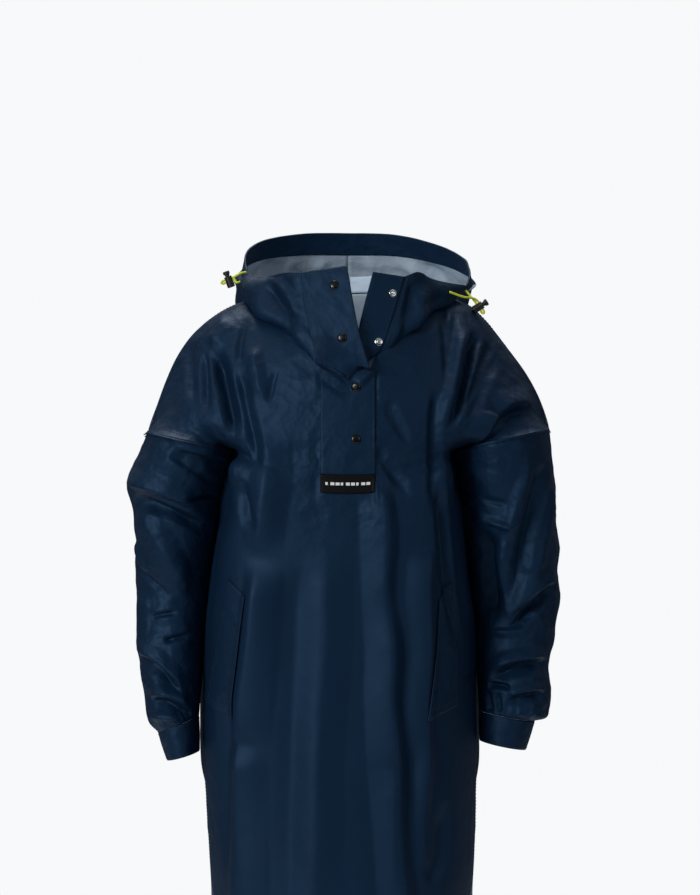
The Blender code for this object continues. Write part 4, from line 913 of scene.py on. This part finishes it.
def makePlacket(cut):
    # the part on the panel lies one wall above it, and the part above the neck has its own table
    rowsFiner, columnsFiner = fineness["strip"]
    last = len(plainFront) - 1
    onPanel, up = onFront(foot + 1, last, (last - 1 - foot) * rowsFiner + 1, cut["across"] * columnsFiner + 1)
    onPanel = onPanel + up * cut["lift"]
    lower = onPanel[::rowsFiner, ::columnsFiner]
    flap = refine(stripGrid(cut["flap"], cut["across"], cut["rows"], lower), rowsFiner, columnsFiner)
    flap[:len(onPanel)] = onPanel
    share = np.linspace(0, 1, len(flap))[:, None]
    lift = crumple(flap, *cut["crumples"]["flap"], 61) * within(share, 0.1, 0.06)
    lift = lift + folds(flap, cut["folds"], 1.0, 65)
    flap = flap + normalsOf(flap) * lift[..., None]
    neck = plainFront[-1, middle:middle + 4] + seamStep + np.array([0, 0.7, 0])
    under = refine(stripGrid(cut["underlap"], 3, cut["rows"], neck[None]), rowsFiner, columnsFiner)
    under = under + normalsOf(under) * crumple(under, *cut["crumples"]["underlap"], 63)[..., None]
    made = []
    for label, points, crumpled in (("flap", flap, 0.5), ("underlap", under, 0.7)):
        made.append((points, normalsOf(points)))
        clothPiece(f"placket_{label}_cloth", *made[-1], f"placket_{label}", lining=outside, wall=cut["wall"],
                   crumpled=crumpled)
    return made


def makeCollar(cut):
    # collar lines made finer, creased, bulged over the seam and tucked under the placket
    made, step = {}, fineness["strip"][0]
    edges = {-1: flap[-placketCut["rows"] * step - 1::step, 0], 1: under[::step, -1]}
    for label, side in sides:
        base = plainFront[-1, middle + 3 * side::2 * side] + seamStep
        grid = collarGrid(base, cut[label], edges[side] + np.array([side * 0.5, 0, 0]))
        points = refine(grid, *fineness["collar"])
        normals = normalsOf(points, side)
        rise, over = (np.linspace(0, 1, n) for n in points.shape[:2])
        rise, over = rise[:, None], over[None, :]
        height = folds(points, cut[label + "Folds"], 2.0, 71) + crumple(points, *cut["crumple"], 73)
        height *= within(over, 0.12, 0.08) * within(rise, 0.1, 0.05)
        # it bulges over its own seam and hangs a little below it
        height += hill(rise - 0.2, 0.16) * cut["belly"] * ease(-0.05, 0.2, over)
        points = points + normals * height[..., None]
        points[..., 2] -= cut["hang"] * hill(rise, 0.22) * ease(-0.1, 0.15, over)
        inward, below = cut["tuck"]                         # its front edge lies under the placket's part
        points = points + np.exp(-over / 0.03)[..., None] * (np.array([-side * inward, 0, 0]) - normals * below)
        made[label] = points, normalsOf(points, side)
        clothPiece(f"collar_cloth_{label}", *made[label], f"collar_{label}", lining=outside)
    return made


def makeHood(cut):
    # hood lines made finer, crumpled and cut in two at the middle, then the band along the rim
    shares = np.linspace(0, 1, cut["lines"])
    seam = along(plainBack[-1] + seamStep, shares)
    parts = zip(*(hoodLine(p, s, cut) for p, s in zip(seam, shares)))
    grid, band = (refine(np.array(lines).transpose(1, 0, 2), *fineness["hood"]) for lines in parts)
    for part in (grid, band):
        part[:, [0, -1], 1] += cut["behindCollar"]
    down, over = (np.linspace(0, 1, n) for n in grid.shape[:2])
    calm = 0.15 + 0.85 * ease(0, cut["calmFoot"], grid[..., 2] - grid[..., 2].min(axis=0))
    coarse, fine = cut["crumples"]["bag"]
    lift = crumple(grid, *coarse, 81) + crumple(grid, *fine, 83) + folds(grid, cut["folds"], 3.0, 84)
    lift *= within(over, 0.06, 0.06)[None, :] * within(down, 0.05, 0.05)[:, None] * calm
    grid = grid - normalsOf(grid) * lift[..., None]
    normals, half = -normalsOf(grid), grid.shape[1] // 2
    for label, part in (("right", slice(0, half + 1)), ("left", slice(half, None))):
        clothPiece(f"hood_cloth_{label}", grid[:, part], normals[:, part], f"hood_{label}", wall=0.4)
    bandNormals = -normalsOf(band)
    lift = crumple(band, *cut["crumples"]["band"], 85) * ease(0, 0.05, over)[None, :]
    band = band + bandNormals * lift[..., None]
    clothPiece("hood_band", band, bandNormals, "hood_brim", lining=outside, wall=1.6)
    return band, bandNormals


(flap, flapNormals), (under, underNormals) = makePlacket(placketCut)
collars = makeCollar(collarCut)
hoodBand = makeHood(hoodCut)
print("placket, collar and hood made")

pocketCut = {              # corners in front view from the top inner one round by the outer side
    "right": {"corners": ((-97, -281), (-112, -266), (-135, -388), (-109, -400)), "lift": 1.4, "stands": 0.8},
    "left": {"corners": ((85, -283), (100, -268), (104, -386), (75, -397)), "lift": 1.2, "stands": 0.8},
}


def makePocket(label, cut):
    # a welt over a four-cornered patch of the front panel, standing up a little along its opening
    u, v = np.linspace(0, 1, 61)[:, None], np.linspace(0, 1, 19)[None, :]
    corners = [nearestIndex(front, spot) for spot in cut["corners"]]
    i, j = ((a * (1 - v) + b * v) * (1 - u) + (d * (1 - v) + c * v) * u for a, b, c, d in zip(*corners))
    opening = hill(v, 0.16) * np.sin(math.pi * u) ** 0.5 * cut["stands"]
    points = readGrid(front, i, j) + unit(readGrid(frontNormals, i, j)) * (cut["lift"] + opening)[..., None]
    normals = normalsOf(points)
    normals = -normals if np.sum(normals[..., 1]) > 0 else normals
    clothPiece(f"pocket_welt_cloth_{label}", points, normals, f"pocket_welt_{label}", lining=outside, wall=0.9)
    return points, normals


pockets = {label: makePocket(label, pocketCut[label]) for label in pocketCut}

labelSetup = {"lift": 1.6, "wall": 1.1, "dashes": 9, "pitch": 3.4, "long": 2.6, "short": 1.6, "wide": 0.9}


def makeLabel(setup):
    # the patch lies across the placket's foot, with a plain row of short white dashes
    points, up = onFront(foot, foot + 1, 13, 37)
    points = points + up * setup["lift"]
    patch, faces, _ = shellOf(points, up, setup["wall"])
    settle(linkMesh("label_patch_front", patch, faces, [labelBlack]), "label_patch")
    dashes, row = [], (len(points) - 1) / 2
    for k in range(setup["dashes"]):
        start, size = 3 + k * setup["pitch"], setup["long"] if k % 3 else setup["short"]
        i, j = np.meshgrid([row - setup["wide"], row + setup["wide"]], np.linspace(start, start + size, 4),
                           indexing="ij")
        dash = readGrid(points, i, j) + readGrid(up, i, j) * 0.12
        dashes.append((dash.reshape(-1, 3), quadsOf(np.arange(8).reshape(2, 4))))
    settle(linkMesh("label_dashes", *joined(dashes), [labelWhite]))


def makeStitches():
    # Topstitching along the seams and edges. Each line is read in index space on its grid: a column and
    # the rows that it runs through, or a row and its columns.
    def down(cloth, columns, first, last):
        return [gridLine(*cloth, np.linspace(first, last, 400), j) for j in columns]

    def over(cloth, rows, first, last):
        return [gridLine(*cloth, i, np.linspace(first, last, 400)) for i in rows]

    top, wide = flap.shape[0] - 1, flap.shape[1] - 1
    high, far = under.shape[0] - 1, under.shape[1] - 1
    lines = {
        "placket": down((flap, flapNormals), (1.8, 7.5, wide - 1.8), 0, top - 2)
        + over((flap, flapNormals), [top - 1.6], 2, wide - 2)
        + down((under, underNormals), (1.8, far - 1.8), 2, high - 2),
        "collar": [], "hood": over(hoodBand, (1.6, 22.0), 3, hoodBand[0].shape[1] - 4), "pocket": [], "cuff": []}
    for cloth in collars.values():
        rows, columns = cloth[0].shape[0] - 1, cloth[0].shape[1] - 1
        lines["collar"] += over(cloth, [rows - 2.0], 2, columns - 1) + down(cloth, [4.0], 3, rows - 2)
    for cloth in pockets.values():
        lines["pocket"] += down(cloth, (1.2, 5.0, 16.8), 1, 59) + over(cloth, (1.2, 3.8, 56.2, 58.8), 1, 17)
    for cloth in cuffs.values():
        lines["cuff"] += over(cloth, (1.8, 22.4), 0, cloth[0].shape[1] - 1)
    for name, *cloth, stations in (("front", front, frontNormals, frontStations),
                                   ("back", back, backNormals, backStations)):
        edge, last = cloth[0].shape[1] - 1, cloth[0].shape[0] - 1
        low, high = np.interp((1.02, 1.98), stations, np.arange(last + 1))
        ends = (0.5, low, high, last - 1)
        for j in (1.5, edge - 1.5):
            lines[name] = lines.get(name, []) + sum((down(cloth, [j], *pair) for pair in zip(ends, ends[1:])), [])
        lines[name] += down(cloth, (4.6, edge - 4.6), low, high) + over(cloth, (0.7, 5.5), 1.5, edge - 1.5)
    for name, group in lines.items():
        points, faces = joined([stitches(*line) for line in group])
        settle(linkMesh(f"topstitch_{name}", points, faces, [thread]))


makeStitches()
print("stitches made")
makeLabel(labelSetup)

snapCut = {                # radius, height
    "cap": ((0, 1.75), (1.2, 1.78), (2.4, 1.7), (3.3, 1.45), (3.9, 1.15), (4.35, 0.75), (4.6, 0.3), (4.6, -0.2),
            (0, -0.2)),
    "stud": ((0, 2.5), (1.2, 2.5), (1.7, 2.3), (1.85, 2.0), (1.7, 1.5), (1.7, 0.95), (2.2, 0.85), (3.5, 0.75),
             (3.9, 0.4), (3.9, -0.2), (0, -0.2)),
}


def turnedMesh(name, profile, place, direction, surfaces, around=48):
    # a turned trim: its profile of radius and height swept round an axis that stands on a place
    direction = unit(np.asarray(direction, float))
    xAxis = unit(np.cross(upward, direction))
    yAxis = np.cross(direction, xAxis)
    profile = np.array(profile, float)
    angle = np.linspace(0, 2 * math.pi, around, endpoint=False)[None, :, None]
    radius, height = profile[1:-1].T[..., None, None]
    rings = place + radius * (np.cos(angle) * xAxis + np.sin(angle) * yAxis) + height * direction
    points = np.concatenate([rings.reshape(-1, 3), place + profile[[0, -1], 1:] * direction])
    index = closeRound(np.arange(len(rings) * around).reshape(-1, around))
    tips = np.full(around, len(points) - 2)
    caps = [np.stack(corners, -1) for corners in (
        (index[0, :-1], index[0, 1:], tips), (index[-1, 1:], index[-1, :-1], tips + 1))]
    faces = quadsOf(index)[:, [0, 3, 2, 1]].tolist() + np.concatenate(caps).tolist()
    return linkMesh(name, points * mm, faces, surfaces)


def makeSnaps(cut):
    # caps on the flap and bare studs on the underlap, each on the cloth point nearest its place
    for kind, grid, normals, surface, slot in (("cap", flap, flapNormals, lacquer, "black_lacquer"),
                                               ("stud", under, underNormals, nickel, "nickel_snap")):
        for k, spot in enumerate(cut[kind + "s"], 1):
            at = nearestIndex(grid, spot)
            piece = turnedMesh(f"snap_{kind}_face_{k}", snapCut[kind], grid[at], normals[at], [surface])
            settle(piece, f"snap_{kind}_{k}")


makeSnaps(placketCut)
print("trims made")

cordSetup = {
    "radius": 1.1,         # each lock: place, the plunger's way, the cord's way; each loop: its two ends
    "locks": {"right": ((-116, -3, 22), (-0.35, 0.0, 0.935), (-0.935, 0.0, -0.35)),
              "left": ((127.5, -17, -4.2), (0.85, -0.05, 0.52), (0.52, 0.0, -0.85))},
    "ends": {"right": (((-99.5, 0.5, 30), (-104, -2, 29)), ((-105.0, -5.2, 20.5), (-108.3, -6, 19.5))),
             "left": (((98.1, -34.4, 9), (110, -28, 5)), ((114.4, -7.1, 11.5), (119, -12, 6)))},
}


def cordRoute(label, setup):
    # out to the lock, through it, round and back through it
    place, axis, way = (np.array(v, float) for v in setup["locks"][label])
    axis = unit(axis)
    way = unit(way - axis * np.dot(way, axis))
    upper, lower = (np.array(v, float) for v in setup["ends"][label])
    half = axis * (setup["radius"] + 0.15)
    passes = ((1, -5), (1, 0), (1, 4.5), (0.9, 6.6), (0, 7.8), (-0.9, 6.6), (-1, 4.5), (-1, 0), (-1, -5))
    return np.array([*upper, *(place + half * a + way * b for a, b in passes), *lower[::-1]])


def tubeMesh(name, path, radius, surfaces, around=14):
    # rings carried along the path without twist, with run and girth as its texture plane
    run = unit(np.gradient(path, axis=0))
    aside = np.zeros_like(path)
    aside[0] = unit(np.cross(run[0], [0.3, 0.2, 1.0]))
    for k in range(1, len(path)):
        aside[k] = unit(aside[k - 1] - run[k] * np.dot(aside[k - 1], run[k]))
    angle = np.linspace(0, 2 * math.pi, around + 1)[None, :, None]
    third = np.cross(run, aside)
    points = path[:, None] + radius * (np.cos(angle) * aside[:, None] + np.sin(angle) * third[:, None])
    uv = np.stack(np.broadcast_arrays(runOf(path)[:, None], angle[..., 0] * radius), -1).reshape(-1, 2) * mm
    index = np.arange(points.size // 3).reshape(points.shape[:2])
    faces = quadsOf(index).tolist() + [index[0, ::-1][:-1].tolist(), index[-1, :-1].tolist()]
    return linkMesh(name, points.reshape(-1, 3) * mm, faces, surfaces, None, uv)


def makeCord(label, setup):
    # a tube along the route, held by the two parts of its lock
    path = along(cordRoute(label, setup), np.linspace(0, 1, 120))
    piece = tubeMesh(f"drawcord_braid_{label}", path, setup["radius"], [yellow])
    settle(piece, f"drawcord_{label}")
    lock = [f"cord_lock_{part}_{label}" for part in ("barrel", "plunger")]
    for part in lock:
        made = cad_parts[part].data.materials
        made.clear()
        made.append(acetal)


for label, _ in sides:
    makeCord(label, cordSetup)
print("cords made")

lightSetup = {
    "lamps": {             # place, size, power
        "key": ((-2.15, -2.45, 0.8), 1.5, 64.0), "fill": ((2.2, -2.4, 0.8), 2.0, 11.0),
        "top": ((-0.1, 0.9, 2.2), 1.6, 42.0)},
    "aim": (0, 0, -0.2), "seen": "#f8f9fa", "around": "#dbe8f7", "low": 0.05, "high": 0.27,
    "floor": "#ededee", "floorHeight": -1.1, "floorHalf": 1.5,
}


def makeLights(setup):
    # three round lamps aimed at the middle, the room and the floor
    for name, (place, size, power) in setup["lamps"].items():
        data = bpy.data.lights.new(name, "AREA")
        data.shape, data.size, data.energy = "DISK", size, power
        lamp = addObject(name, data)
        lamp.location = place
        lamp.rotation_euler = (Vector(setup["aim"]) - Vector(place)).to_track_quat("-Z", "Y").to_euler()
    # a nearly white room that is seen brighter than it lights, darker below
    world = bpy.data.worlds.new("studio")
    world.use_nodes = True
    tree = world.node_tree
    around = tree.nodes["Background"]
    around.inputs["Color"].default_value = hexColour(setup["around"])
    spot = addNode(tree, "ShaderNodeTexCoord").outputs["Generated"]
    parts = addNode(tree, "ShaderNodeSeparateXYZ", {}, {"Vector": spot})
    addNode(tree, "ShaderNodeMapRange",
            {"From Min": -0.1, "From Max": 0.75, "To Min": setup["low"], "To Max": setup["high"]},
            {"Value": parts.outputs["Z"]}, {"Result": around.inputs["Strength"]})
    seen = addNode(tree, "ShaderNodeBackground", {"Color": hexColour(setup["seen"]), "Strength": 1.0})
    ray = addNode(tree, "ShaderNodeLightPath").outputs["Is Camera Ray"]
    addNode(tree, "ShaderNodeMixShader", {},
            {"Fac": ray, 1: around.outputs["Background"], 2: seen.outputs["Background"]},
            {"Shader": tree.nodes["World Output"].inputs["Surface"]})
    bpy.context.scene.world = world
    bpy.context.scene.view_settings.view_transform = "Standard"
    matt, _, _ = startMaterial("pale floor", setup["floor"], 0.9)
    corners = np.array([(x, y, 0) for x, y in ((-1, -1), (1, -1), (1, 1), (-1, 1))]) * setup["floorHalf"]
    linkMesh("floor", corners + upward * setup["floorHeight"], [[0, 1, 2, 3]], [matt])


makeLights(lightSetup)
print("light and floor made")
